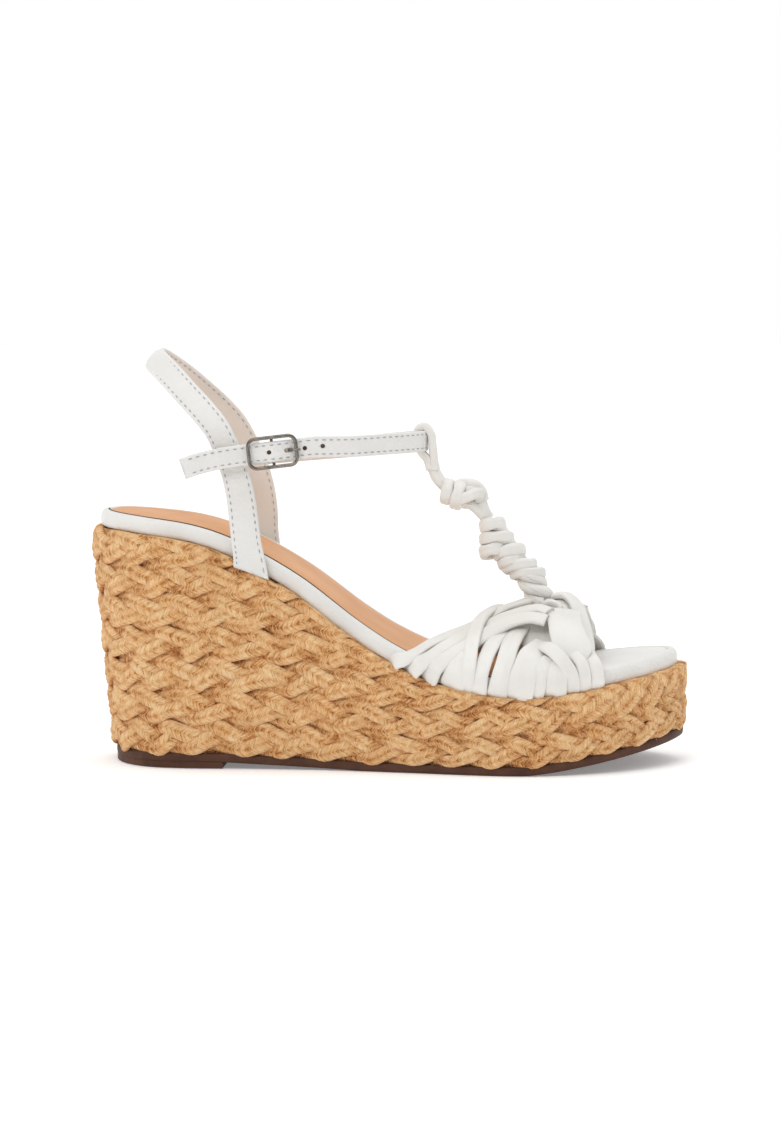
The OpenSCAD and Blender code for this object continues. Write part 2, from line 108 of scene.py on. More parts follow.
# How far the heel leans in at the ground, up to what height, and how far forward that reaches
LEAN, LEAN_TOP, LEAN_REACH = 8.0, 84.0, 45.0
# The outsole's thickness and inset; the heel lift's thickness, its front end, and where the sole in
# front of it comes down to the ground; and how far and from where the toe springs up
SOLE, SOLE_INSET, LIFT, LIFT_END, LIFT_FADES = 3.3, 1.0, 2.4, 52.0, 105.0
TOE_SPRING, SPRING_FROM = 10.4, 168.0
# The footbed: its inset from the footprint, its binding, and the layers on it, up to the sock's front
FOOTBED_INSET, BINDING_W, BINDING_H = 3.2, 3.0, 6.0
BOARD, FOAM, SOCK, SOCK_END = 3.2, 1.6, 1.6, 170.0
# The two layers of a strap
LEATHER, LINING = 1.1, 0.7
# How much higher the second course of jute stands at the toe
TOE_RISE = 5.0


def place(points):
    """Millimetres from the back of the heel to metres in the row frame."""
    return (np.asarray(points, float) - [CENTRE[0], CENTRE[1], 0]) / 1000


def top_at(x):
    """The height of the top line of the jute."""
    return np.interp(x, JUTE_TOP[:, 0], JUTE_TOP[:, 1])


def top_slope(x):
    return (top_at(x + 1) - top_at(x - 1)) / 2


def sole_under(x):
    """The height of the outsole's underside, which rises at the toe and onto the heel lift."""
    spring = TOE_SPRING * np.clip((x - SPRING_FROM) / 60, 0, None) ** 1.25
    return spring + LIFT * np.clip((LIFT_FADES - x) / (LIFT_FADES - LIFT_END), 0, 1)


def course_pitch(x):
    """The courses lie a little closer together under the ball of the foot."""
    return COURSE_PITCH - 1.6 * np.exp(-(((x - 130) / 28) ** 2))


def leaned(outline, z):
    """The heel leans in towards the ground."""
    x = outline[:, 0]
    back = np.clip(1 - (x + 2) / LEAN_REACH, 0, None)
    shift = LEAN * np.clip(LEAN_TOP - z, 0, None) / LEAN_TOP * back
    return np.stack([x + shift, outline[:, 1]], axis=1)


def outline_normals(p):
    """The outward direction at each point of a closed outline."""
    t = unit(np.roll(p, -1, axis=0) - np.roll(p, 1, axis=0))
    return np.stack([t[:, 1], -t[:, 0]], axis=1)


def inset(outline, d):
    """The outline moved inwards by d."""
    return outline - outline_normals(outline) * d


# ---------- meshes
def grid_faces(rings, points, closed=False):
    """Four-sided faces between rings of points; a closed shape joins its last ring to its first."""
    i, j = np.meshgrid(np.arange(rings if closed else rings - 1), np.arange(points), indexing="ij")
    i2, j2 = (i + 1) % rings, (j + 1) % points
    corners = [i * points + j, i2 * points + j, i2 * points + j2, i * points + j2]
    return np.stack(corners, axis=-1).reshape(-1, 4)


def turned_over(quads):
    """The same faces, looking the other way."""
    return quads[:, [0, 3, 2, 1]]


def crosswise(path, normals, closed=False):
    """At each point of a path, the direction across it and the one out of its surface."""
    if closed:
        t = unit(np.roll(path, -1, axis=0) - np.roll(path, 1, axis=0))
    else:
        t = unit(np.gradient(path, axis=0))
    across = unit(np.cross(t, normals))
    return across, np.cross(across, t)


class Shape:
    """Vertices, faces, UVs (mm along, mm round) and a 0..1 shade value, gathered piece by piece."""

    def __init__(self):
        self.verts, self.faces, self.uv, self.shade, self.count = [], [], [], [], 0

    def add(self, verts, faces, uv=None, shade=None):
        verts = np.asarray(verts, float)
        self.faces += [[i + self.count for i in f] for f in faces]
        self.uv.append(np.zeros((len(verts), 2)) if uv is None else uv)
        self.shade.append(np.ones(len(verts)) if shade is None else shade)
        self.verts.append(verts)
        self.count += len(verts)

    def sweep(self, path, normals, section, closed=False, shade=None, uv_offset=(0, 0)):
        """A section of (across, outward) points carried along a path, facing along the normals."""
        path, n = np.asarray(path, float), len(path)
        b, k = crosswise(path, normals, closed)
        section = np.asarray(section, float)
        if section.ndim == 2:
            section = np.broadcast_to(section, (n,) + section.shape)
        m = section.shape[1]
        pts = path[:, None] + b[:, None] * section[..., :1] + k[:, None] * section[..., 1:]
        along = distance_along(path)
        around = np.cumsum(np.linalg.norm(section[0] - np.roll(section[0], 1, axis=0), axis=1))
        uv = np.stack(np.meshgrid(along + uv_offset[0], around + uv_offset[1], indexing="ij"), axis=-1)
        faces = grid_faces(n, m, closed).tolist()
        verts = pts.reshape(-1, 3)
        uv = uv.reshape(-1, 2)
        if shade is None:
            shade = np.ones(len(verts))
        if not closed:
            verts = np.vstack([verts, pts[0].mean(0), pts[-1].mean(0)])
            uv = np.vstack([uv, uv[:1], uv[-1:]])
            shade = np.concatenate([shade, shade[:1], shade[-1:]])
            last_ring = (n - 1) * m
            faces += [[(q + 1) % m, q, n * m] for q in range(m)]
            faces += [[n * m + 1, last_ring + q, last_ring + (q + 1) % m] for q in range(m)]
        self.add(verts, faces, uv, shade)


def build(name, shape, slot, replaces=None, material=None, body="sandal", ride=True):
    """A Shape becomes a Blender object that rides on a CAD body and can stand for a CAD node."""
    me = bpy.data.meshes.new(name)
    verts = place(np.vstack(shape.verts))
    me.from_pydata(verts.tolist(), [], shape.faces)
    uv = np.vstack(shape.uv) / 1000
    layer = me.uv_layers.new(name="surface")
    loops = np.zeros(len(me.loops), np.int32)
    me.loops.foreach_get("vertex_index", loops)
    layer.data.foreach_set("uv", uv[loops].astype(np.float32).ravel())
    shade = me.attributes.new("shade", "FLOAT", "POINT")
    shade.data.foreach_set("value", np.concatenate(shape.shade).astype(np.float32))
    me.polygons.foreach_set("use_smooth", np.ones(len(me.polygons), bool))
    me.materials.append(material or SLOTS[slot])
    obj = bpy.data.objects.new(name, me)
    bpy.context.scene.collection.objects.link(obj)
    if ride:
        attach(obj, body)
    if replaces:
        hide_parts(replaces)
    return obj


def oval(count, flat, flat_ends=None):
    """The x and y of a loop 1 by 1: a circle at flat 1, and the squarer the lower flat is.

    flat_ends is for y, where it differs."""
    a = np.arange(count) * 2 * math.pi / count
    c, s = np.cos(a), np.sin(a)
    return (0.5 * np.sign(c) * np.abs(c) ** flat,
            0.5 * np.sign(s) * np.abs(s) ** (flat_ends or flat))


def round_section(r, count=12):
    """A circle of radius r."""
    return np.stack(oval(count, 1), axis=1) * 2 * r


# ---------- materials
class Tree:
    """A node tree, with a short call for each kind of node that the materials use."""

    def __init__(self, owner):
        owner.use_nodes = True
        self.nodes, self.links = owner.node_tree.nodes, owner.node_tree.links
        self.shader = self.nodes.get("Principled BSDF")

    def feed(self, node, inputs):
        """Each input is a plain value, or another node's output to link."""
        for name, value in inputs.items():
            if isinstance(value, bpy.types.NodeSocket):
                self.links.new(value, node.inputs[name])
            else:
                node.inputs[name].default_value = value

    def add(self, kind, output, inputs, **settings):
        """A new node of a kind, with its inputs and settings; the result is one of its outputs."""
        node = self.nodes.new("ShaderNode" + kind)
        for name, value in settings.items():
            setattr(node, name, value)
        self.feed(node, inputs)
        return node.outputs[output]

    def where(self, output="Object"):
        return self.add("TexCoord", output, {})

    def noise(self, coords, scale, detail=3.0, rough=0.55):
        return self.add("TexNoise", "Fac", {"Vector": coords, "Scale": scale, "Detail": detail,
                                            "Roughness": rough})

    def along_surface(self, scale):
        """The piece's own UVs, along it and round it, stretched by a scale each way."""
        uv = self.add("UVMap", "UV", {}, uv_map="surface")
        return self.add("Mapping", "Vector", {"Vector": uv, "Scale": (*scale, 1)})

    def ramp(self, value, *stops):
        node = self.nodes.new("ShaderNodeValToRGB")
        elements = node.color_ramp.elements
        elements[0].position, elements[1].position = stops[0][0], stops[-1][0]
        elements[0].color, elements[1].color = (*stops[0][1], 1), (*stops[-1][1], 1)
        for position, colour in stops[1:-1]:
            elements.new(position).color = (*colour, 1)
        self.links.new(value, node.inputs["Fac"])
        return node.outputs["Color"]

    def math(self, operation, a, b):
        return self.add("Math", 0, {0: a, 1: b}, operation=operation)

    def bump(self, height, distance, strength=1.0, below=None):
        """Relief on the surface, on top of any relief below it."""
        inputs = {"Height": height, "Distance": distance, "Strength": strength}
        if below is not None:
            inputs["Normal"] = below
        normal = self.add("Bump", "Normal", inputs)
        self.links.new(normal, self.shader.inputs["Normal"])
        return normal


def new_material(name):
    """A material and the tree of its nodes."""
    material = bpy.data.materials.new(name)
    return material, Tree(material)


def jute_material():
    """Tan fibres slanting out from the middle of each strand; painted shade turns the crevices red-brown."""
    material, tree = new_material("jute")
    where = tree.where()
    fibre = tree.noise(tree.along_surface((1500, 230)), 1.0, 2.5, 0.65)
    fine = tree.noise(where, 1100.0, 3.0, 0.75)
    blotch = tree.noise(where, 150.0)
    # The shade attribute is painted shade: lower deep in the braid and in the groove between yarns.
    depth = tree.add("Attribute", "Fac", {}, attribute_name="shade")
    tone = tree.math("ADD", -0.95, tree.math("MULTIPLY", fibre, 1.15))
    for value, share in ((fine, 0.65), (blotch, 0.6), (depth, 0.5)):
        tone = tree.math("ADD", tone, tree.math("MULTIPLY", value, share))
    # The darkest stops are the painted shade of the crevices.
    colour = tree.ramp(tone, (0.25, (0.24, 0.07, 0.018)), (0.45, (0.54, 0.225, 0.07)),
                       (0.63, (0.8, 0.435, 0.18)), (0.92, (0.95, 0.67, 0.37)))
    tree.feed(tree.shader, {"Base Color": colour, "Roughness": 0.9, "Specular IOR Level": 0.1,
                            "Sheen Weight": 0.1, "Sheen Roughness": 0.5})
    tree.bump(tree.math("ADD", fibre, tree.math("MULTIPLY", fine, 0.6)), 0.0012)
    return material


def leather_material(name, low, high, grain_mm=0.9, depth=0.00005, rough=0.42, crease=0.0, coat=0.0,
                     specular=0.45):
    """Grained leather between two tones, with long creases along a band if crease isn't 0."""
    material, tree = new_material(name)
    where = tree.where()
    cells = tree.add("TexVoronoi", "Distance", {"Vector": where, "Scale": 1000 / grain_mm})
    tone = tree.ramp(tree.noise(where, 45.0, 4.0), (0.3, low), (0.7, high))
    tree.feed(tree.shader, {"Base Color": tone, "Roughness": rough, "Specular IOR Level": specular,
                            "Coat Weight": coat, "Coat Roughness": 0.35})
    grain = tree.bump(cells, depth, 0.6)
    soft = tree.bump(tree.noise(where, 260.0), depth * 3, 0.6, grain)
    if crease:
        tree.bump(tree.noise(tree.along_surface((45, 900)), 1.0, 2.0), crease, 0.7, soft)
    return material


def rubber_material():
    material, tree = new_material("brown_rubber")
    where = tree.where()
    tone = tree.ramp(tree.noise(where, 120.0, 4.0), (0.3, (0.062, 0.024, 0.013)),
                     (0.7, (0.10, 0.042, 0.024)))
    tree.feed(tree.shader, {"Base Color": tone, "Roughness": 0.6, "Specular IOR Level": 0.25})
    tree.bump(tree.noise(where, 900.0, 4.0), 0.0002, 0.6)
    return material


def cork_material():
    material, tree = new_material("cork")
    place_in = {"Vector": tree.where(), "Scale": 420.0}
    tone = tree.ramp(tree.add("TexVoronoi", "Color", place_in), (0.1, (0.3, 0.17, 0.08)),
                     (0.9, (0.6, 0.42, 0.24)))
    tree.feed(tree.shader, {"Base Color": tone, "Roughness": 0.85})
    tree.bump(tree.add("TexVoronoi", "Distance", place_in), 0.0004, 0.5)
    return material


def metal_material():
    material, tree = new_material("nickel")
    where = tree.where()
    tone = tree.noise(where, 300.0)
    colour = tree.ramp(tone, (0.3, (0.13, 0.115, 0.1)), (0.7, (0.26, 0.24, 0.215)))
    rough = tree.ramp(tone, (0.3, (0.14,) * 3), (0.7, (0.22,) * 3))
    tree.feed(tree.shader, {"Base Color": colour, "Metallic": 1.0, "Roughness": rough})
    tree.bump(tree.noise(where, 1500.0, 2.0), 0.00001, 0.5)
    return material


CORK = cork_material()
BEIGE = leather_material("lining_leather", (0.67, 0.61, 0.55), (0.77, 0.72, 0.66), rough=0.6)
# A near-black leather used as painted shadow in gaps and holes where only shade falls.
PAINTED_SHADOW = leather_material("hole_shadow", (0.05, 0.03, 0.02), (0.09, 0.055, 0.04), rough=0.8)
THREAD = leather_material("grey_thread", (0.30, 0.31, 0.33), (0.40, 0.41, 0.43), grain_mm=0.3, rough=0.6)
# The material of each of the record's material slots
SLOTS = {
    "rubber_sole": rubber_material(), "cork": CORK, "board": CORK, "jute": jute_material(),
    "tan_leather": leather_material("tan_leather", (0.61, 0.29, 0.12), (0.71, 0.375, 0.18), grain_mm=0.7,
                                    rough=0.5, specular=0.2),
    "white_leather": leather_material("white_leather", (0.69, 0.675, 0.645), (0.76, 0.75, 0.725),
                                      depth=0.0002, coat=0.06),
    "soft_white_leather": leather_material("soft_white_leather", (0.70, 0.68, 0.64), (0.78, 0.765, 0.73),
                                           crease=0.0004),
    "lining_leather": BEIGE, "foam": BEIGE, "nickel": metal_material()}


# ---------- camera, floor and light
def set_world(scene):
    """A white room with a darker patch behind the camera, which shapes the leather and the metal."""
    world = bpy.data.worlds.new("studio")
    tree = Tree(world)
    dot = tree.add("VectorMath", "Value", {0: tree.where("Generated"), 1: (0.08, -0.98, 0.05)},
                   operation="DOT_PRODUCT")
    room = tree.nodes["Background"]
    tone = tree.ramp(dot, (0.55, (1, 1, 1)), (0.86, (0.3,) * 3), (1, (0.2,) * 3))
    tree.feed(room, {"Color": tone, "Strength": 0.93})
    seen = tree.add("Background", 0, {"Color": (1, 1, 1, 1)})
    by_camera = tree.add("LightPath", "Is Camera Ray", {})
    mix = tree.add("MixShader", 0, {"Fac": by_camera, 1: room.outputs[0], 2: seen})
    tree.links.new(mix, tree.nodes["World Output"].inputs["Surface"])
    scene.world = world
    scene.view_settings.view_transform = "Standard"


def set_stage():
    """The camera, aimed at the middle of the sandal, with two soft lamps and a pale floor."""
    scene = bpy.context.scene
    aim = Vector(place((114, 0, 75.3)))
    azimuth, elevation, distance = math.radians(4), math.radians(5), 1.4
    back = Vector((math.sin(azimuth) * math.cos(elevation), -math.cos(azimuth) * math.cos(elevation),
                   math.sin(elevation)))
    cam = bpy.data.objects.new("camera", bpy.data.cameras.new("camera"))
    cam.location = aim + back * distance
    cam.rotation_mode = "QUATERNION"
    cam.rotation_quaternion = (-back).to_track_quat("-Z", "Y")
    cam.data.sensor_width = 36
    cam.data.lens = 114.7
    scene.collection.objects.link(cam)
    scene.camera = cam

    set_world(scene)
    lamps = (("key", 1.4, 16, (-0.7, -1.6, 1.7)), ("top", 1.0, 7, (0.3, 0.4, 2.0)))
    for name, size, energy, position in lamps:
        light = bpy.data.lights.new(name, "AREA")
        light.size, light.energy = size, energy
        lamp = bpy.data.objects.new(name, light)
        lamp.location = position
        lamp.rotation_euler = (aim - Vector(position)).to_track_quat("-Z", "Y").to_euler()
        scene.collection.objects.link(lamp)

    mesh = bpy.data.meshes.new("floor")
    s = 6.0
    mesh.from_pydata([(-s, -s, 0), (s, -s, 0), (s, s, 0), (-s, s, 0)], [], [(0, 1, 2, 3)])
    material, tree = new_material("pale_floor")
    tone = tree.ramp(tree.noise(tree.where(), 3.0), (0.3, (0.93,) * 3), (0.7, (0.95,) * 3))
    tree.feed(tree.shader, {"Base Color": tone, "Roughness": 0.8, "Emission Color": (1, 1, 1, 1),
                            "Emission Strength": 0.2})
    mesh.materials.append(material)
    floor = bpy.data.objects.new("floor", mesh)
    floor.location.z = -0.0002
    scene.collection.objects.link(floor)


# ---------- sole
def outsole():
    """The rubber outsole, with its edge rounded off."""
    outline, _ = resample(inset(leaned(FOOTPRINT, 0), SOLE_INSET), 1.6, closed=True)
    normals = outline_normals(outline)
    x = np.clip(outline[:, 0], 28, 196)
    middle = np.column_stack([x, np.interp(x, [28, 60, 100, 150, 196], [0, -0.5, -0.5, -1, 3])])
    # The rings of the lower half: how far each is rounded off, how far in to the middle, and its level
    half = [(0.25, into, 0) for into in (1, 0.6, 0.25, 0.02, 0)] + [(0.0375, 0, 0.3)]
    rings = []
    for off, into, level in half + [(0, 0, 0.5)] + [(o, i, 1 - v) for o, i, v in half[::-1]]:
        xy = outline - normals * off
        xy = xy + (middle - xy) * into
        rings.append(np.column_stack([xy, sole_under(xy[:, 0]) + SOLE * level]))
    verts = np.vstack(rings)
    shape = Shape()
    shape.add(verts, turned_over(grid_faces(len(rings), len(outline))).tolist(), verts[:, :2])
    build("outsole_rubber", shape, "rubber_sole", "outsole")


# ---------- braided jute
STRANDS = 3
# The length of one turn of the braid
PERIOD_HEEL, PERIOD_TOE = 54.0, 47.0
# A strand's width and thickness, how deep its middle lies, and how far it moves in and out
STRAND_W, STRAND_T, STRAND_DEPTH, CROSSING = 5.7, 3.3, 2.1, 1.0
FIBRES = 1300


def wobble(f, waves, seed):
    """Smooth, seeded unevenness between about -1 and 1 that repeats as f goes from 0 to 1."""
    r = np.random.default_rng(seed)
    total = np.zeros_like(f)
    for _ in range(5):
        total += np.sin(2 * math.pi * (f * r.integers(waves // 2, waves * 2) + r.uniform()))
    return total / 3


def course_level(i, x):
    """The height of the joint above course i; the second course rises to the top at the toe."""
    level = sole_under(x) + SOLE + i * course_pitch(x)
    return level + TOE_RISE * np.clip((x - 182) / 8, 0, 1) if i == 2 else level


def strand_section():
    """A flattened strand of two yarns side by side: [across, outward] for a size of 1 by 1."""
    x, y = oval(20, 0.8, 0.62)
    y -= 0.13 * np.exp(-((x / 0.09) ** 2)) * np.sign(y)
    return np.stack([x, y], axis=1)


def braid_strand(shape, seed, phase, base, out, middle, half, part, stretch, closed):
    """One strand of a course, which weaves up and down and in and out as its phase goes on."""
    section = strand_section()
    phase = phase + 0.28 * wobble(part, 13, seed)
    width = STRAND_W * np.clip(half / 6, 0.8, 1.5) * (1 + 0.06 * wobble(part, 17, seed + 100)) * stretch
    v = half * (1 - 0.06 * STRAND_W) * (np.sin(phase) - 0.1 * np.sin(3 * phase))
    v += 0.25 * wobble(part, 21, seed + 200)
    w = -CROSSING * np.sin(2 * phase) - 0.012 * v**2 + 0.15 * wobble(part, 15, seed + 300)
    path = np.column_stack([base + out * (w - STRAND_DEPTH)[:, None], middle + v])
    up = np.column_stack([out, np.sin(phase) * 0.16])
    rough = 1 + 0.055 * rng.standard_normal((len(path), len(section)))
    rings = np.stack([section[:, 0] * width[:, None], section[:, 1] * STRAND_T * rough], axis=-1)
    # Painted shade: darker deep down, and in the groove between the strand's two yarns
    depth = w[:, None] + rings[..., 1]
    groove = 1 - 0.3 * np.exp(-((section[:, 0] / 0.09) ** 2))
    shade = np.clip(0.62 + 0.16 * depth, 0, 1) * groove
    shape.sweep(path, up, rings, closed=closed, shade=shade.reshape(-1))
    # The UVs run back with the distance from the middle of the strand, which slants the fibres
    uv, slant = shape.uv[-1], np.tile(np.abs(section[:, 0]) * STRAND_W, len(path))
    uv[: len(slant), 0] += seed * 37.0 - slant * 0.9
    uv[: len(slant), 1] = slant + seed


def jute_course(i):
    """One course: a flat three-strand braid wrapped round the wedge, from the heel to the toe."""
    level = SOLE + LIFT + (i - 0.5) * COURSE_PITCH
    outline, s = resample(leaned(FOOTPRINT, level), 0.95, closed=True)
    normals = outline_normals(outline)
    x = outline[:, 0]
    low = course_level(i - 1, x)
    high = course_level(i, x) if i < COURSES else low + COURSE_PITCH
    # The upper courses stop where they'd rise past the top line
    seen = low < top_at(x) + 2.5
    closed = bool(seen.all())
    order = np.arange(len(s))
    if not closed:
        start = next(k for k in order if seen[k] and not seen[k - 1])
        order = np.roll(order, -start)
        order = order[: int(np.argmin(seen[order]))]
    # The braid makes a whole number of turns on its way round
    period = np.interp(x, [95, 150], [PERIOD_HEEL, PERIOD_TOE])
    turned = np.cumsum(1 / period)
    turned = (turned / turned[-1] * round(turned[-1] * s[1]))[order]
    part, base, out = order / len(s), outline[order], normals[order]
    middle = ((low + high) / 2)[order] + 0.3 * wobble(part, 9, i)
    half = ((high - low) / 2)[order]
    stretch = (period[order] / PERIOD_TOE) ** 0.7
    shape = Shape()
    for strand in range(STRANDS):
        phase = 2 * math.pi * (turned + strand / STRANDS + 0.05 * math.sin(2.1 * i))
        braid_strand(shape, 10 * i + strand, phase, base, out, middle, half, part, stretch, closed)
    # A band behind the strands closes the gaps between them; its shade of 0.42 is painted shade for the gaps
    path = np.column_stack([base - out * 3.0, middle])
    thick = np.tile([-0.5, 0.5, 0.5, -0.5], (len(path), 1))
    band = np.stack([np.outer(half + 0.4, [1, 1, -1, -1]), thick], axis=-1)
    shape.sweep(path, np.column_stack([out, np.zeros(len(path))]), band, closed=closed,
                shade=np.full(thick.size, 0.42))
    tuck_under_top(shape, outline, normals)
    build(f"jute_course_{i}_braid", shape, "jute", f"jute_course_{i}")


# The jute is pressed a little lower still under the heel strap's feet and under the vamp
PRESSED_UNDER = [((56.5, 73.5), 0.9), ((110, 200), 0.3)]


def tuck_under_top(shape, outline, normals):
    """Jute above the top line is pressed down to it and in under the binding."""
    verts = np.vstack(shape.verts)
    limit = top_at(verts[:, 0]) - 0.2
    for (x_from, x_to), lower in PRESSED_UNDER:
        limit -= np.where((verts[:, 0] > x_from) & (verts[:, 0] < x_to), lower, 0)
    over = verts[:, 2] - limit
    press = over > -0.8
    near = ((verts[press, None, :2] - outline[None, ::4]) ** 2).sum(-1).argmin(1) * 4
    soft = np.logaddexp(0, 3 * over[press]) / 3
    verts[press, 2] -= soft
    verts[press, :2] -= normals[near] * np.clip(soft * 1.1, 0, 4.2)[:, None]
    shape.verts = [verts]


def jute_fibres():
    """Short loose fibres that stand a little proud of the braid."""
    shape = Shape()
    outline, s = resample(FOOTPRINT, 1.0, closed=True)
    around = outline_normals(outline)
    t = np.linspace(-0.5, 0.5, 5)
    radius = 0.075 * np.array([0.5, 1, 1, 0.9, 0.4])
    corner = np.arange(3) * 2 * math.pi / 3
    rings = np.stack([np.outer(radius, np.cos(corner)), np.outer(radius, np.sin(corner))], axis=-1)
    for _ in range(FIBRES):
        k = int(rng.integers(len(s)))
        x = outline[k, 0]
        z = rng.uniform(sole_under(x) + SOLE + 1, top_at(x) - 1.5)
        at = leaned(outline[k: k + 1], z)[0]
        out = np.append(around[k], 0)
        turn = rng.uniform(-0.9, 0.9)
        along = np.array([-out[1] * math.cos(turn), out[0] * math.cos(turn), math.sin(turn)])
        size, bend = rng.uniform(2.0, 5.5), rng.uniform(-0.6, 0.6)
        side = np.cross(along, out)
        lift = rng.uniform(-0.9, 0.1) + (t + 0.5) ** 2 * rng.uniform(0.1, 1.2)
        path = (np.append(at, z) + along * (t * size)[:, None] + side * (bend * t**2 * size)[:, None]
                + out * lift[:, None])
        # The fibres carry a painted shade of 0.9, a little below the tops of the strands.
        shape.sweep(path, out, rings, shade=np.full(15, 0.9))
    build("jute_fibres", shape, "jute")


# ---------- footbed
def side_at(outline, x, side):
    """The y of the outline at x, on the outer (-1) or inner (+1) side."""
    rolled = np.roll(outline, -outline[:, 0].argmin(), axis=0)
    split = rolled[:, 0].argmax()
    outer, inner = rolled[: split + 1], np.vstack([rolled[split:], rolled[:1]])[::-1]
    part = outer if side < 0 else inner
    return np.interp(x, part[:, 0], part[:, 1])


def edge_binding():
    """White leather folded over the edge of the footbed."""
    outer, _ = resample(inset(FOOTPRINT, FOOTBED_INSET), 1.5, closed=True)
    normals = outline_normals(outer)
    slope = top_slope(outer[:, 0])
    up = unit(np.column_stack([-slope, np.zeros(len(slope)), np.ones(len(slope))]))
    w, h = BINDING_W, BINDING_H
    profile = spline([
        (-w, 0.3), (-0.9, -0.1), (-0.35, 0.25), (0, 1.2), (0.15, 2.4), (0.15, 3.6), (-0.05, 4.7),
        (-0.55, 5.6), (-1.3, 6.1), (-2.1, h + 0.15), (-2.9, 5.8), (-w - 0.3, 5), (-w - 0.3, 2)],
        3, closed=True)
    base = np.column_stack([outer, top_at(outer[:, 0])])
    flat = np.column_stack([normals, np.zeros(len(normals))])
    verts = base[:, None] + flat[:, None] * profile[None, :, :1] + up[:, None] * profile[None, :, 1:]
    faces = turned_over(grid_faces(*verts.shape[:2], closed=True)).tolist()
    verts = verts.reshape(-1, 3)
    shape = Shape()
    shape.add(verts, faces, verts[:, ::2])
    build("edge_binding_leather", shape, "white_leather", "edge_binding")


def pad(name, x_from, x_to, slot, replaces, crown):
    """A thin pad on the footbed between two stations, crowned across and rolled down at its edges.

    One end runs out to the heel or the toe, where it's rolled down too. The other meets the next pad."""
    inner = inset(FOOTPRINT, FOOTBED_INSET + BINDING_W - 0.7)
    x_from, x_to = max(x_from, inner[:, 0].min()), min(x_to, inner[:, 0].max())
    at_heel = x_from < SOCK_END
    u = np.linspace(0, 1, 130) * math.pi / 2
    x = x_from + (x_to - x_from) * (1 - np.cos(u) if at_heel else np.sin(u))
    t = np.sin(np.linspace(-1, 1, 41) * math.pi / 2)
    a, b = side_at(inner, x, -1), side_at(inner, x, 1)
    y = (a + b)[:, None] / 2 + (b - a)[:, None] / 2 * t
    xx = np.broadcast_to(x[:, None], y.shape)
    from_end = x - x_from if at_heel else x_to - x
    from_side = np.maximum((b - a) / 2, 0.01)[:, None] * (1 - np.abs(t))
    from_edge = np.minimum(from_side, from_end[:, None])
    under = BOARD + FOAM
    upper = under + SOCK - 0.2 + crown * (1 - np.exp(-from_edge / 9)) - 1.8 * np.exp(-from_edge / 1.3)
    slope = top_slope(xx)
    length = np.sqrt(1 + slope**2)
    layers = [np.stack([xx - level * slope / length, y, top_at(xx) + level / length], axis=-1).reshape(-1, 3)
              for level in (upper, under)]
    r, c = y.shape
    i, j = np.meshgrid(np.arange(r - 1), np.arange(c - 1), indexing="ij")
    q = np.stack([i * c + j, (i + 1) * c + j, (i + 1) * c + j + 1, i * c + j + 1], axis=-1).reshape(-1, 4)
    rim = ([j for j in range(c)] + [i * c + c - 1 for i in range(1, r)]
           + [(r - 1) * c + j for j in range(c - 2, -1, -1)] + [i * c for i in range(r - 2, 0, -1)])
    walls = [[a, b, b + r * c, a + r * c] for a, b in zip(rim, rim[1:] + rim[:1])]
    shape = Shape()
    verts = np.vstack(layers)
    shape.add(verts, q.tolist() + (q[:, ::-1] + r * c).tolist() + walls, verts[:, :2])
    return build(name, shape, slot, replaces)


def sock_edge_shadow_line():
    """A dark tube that paints the shadow along the gap where the sock tucks in beside the binding."""
    line, _ = resample(inset(FOOTPRINT, FOOTBED_INSET + BINDING_W - 0.2), 1.5, closed=True)
    start = next(k for k in range(len(line)) if line[k, 0] < SOCK_END <= line[k - 1, 0])
    line = np.roll(line, -start, axis=0)
    line = line[: int(np.argmax(line[:, 0] > SOCK_END))]
    slope = top_slope(line[:, 0])
    height = np.where(line[:, 1] < 0, 6.05, 5.2) / np.sqrt(1 + slope**2)
    path = np.column_stack([line[:, 0] - slope * height, line[:, 1], top_at(line[:, 0]) + height])
    shape = Shape()
    shape.sweep(path, (0, 0, 1), round_section(0.46, 8))
    build("sock_edge_shadow_line", shape, "tan_leather", material=PAINTED_SHADOW)


# ---------- stitched straps
# How far the stitches stand from the strap's edge, and from one to the next
STITCH_EDGE, STITCH_PITCH = 1.35, 2.8


def strap_section(w, high):
    """Flat below, with rounded edges and a shallow groove along each stitch line on top."""
    x = np.linspace(w / 2, -w / 2, 29)
    from_edge = w / 2 - np.abs(x)
    top = high - 0.4 * np.clip(1 - from_edge / 0.6, 0, 1) ** 2
    top -= 0.07 * np.exp(-(((from_edge - STITCH_EDGE) / 0.28) ** 2))
    bottom = np.stack([np.linspace(-w / 2 + 0.15, w / 2 - 0.15, 7), np.zeros(7)], axis=1)
    return np.vstack([bottom, np.stack([x, top], axis=1)])


def stitch_rows(name, path, normals, widths, height, ride=True, finish=None):
    """Stitches along both edges of a strap."""
    b, k = crosswise(path, normals)
    run = distance_along(path)
    arch = np.linspace(0.1, math.pi - 0.1, 7)
    thread = Shape()
    for side in (-1, 1):
        line = path + b * (side * (widths / 2 - STITCH_EDGE))[:, None] + k * (height - 0.1)
        for at in np.arange(1.5, run[-1] - 2, STITCH_PITCH):
            spots = at + np.linspace(0, 1.5, 7)
            stitch = np.stack([np.interp(spots, run, line[:, c]) for c in range(3)], axis=1)
            up = np.array([np.interp(at, run, k[:, c]) for c in range(3)])
            stitch += up * (0.15 * np.sin(arch))[:, None]
            thread.sweep(stitch, up, round_section(0.22, 6) * np.sqrt(np.sin(arch))[:, None, None])
    if finish:
        finish(thread)
    return build(name + "_thread", thread, "white_leather", material=THREAD, ride=ride)


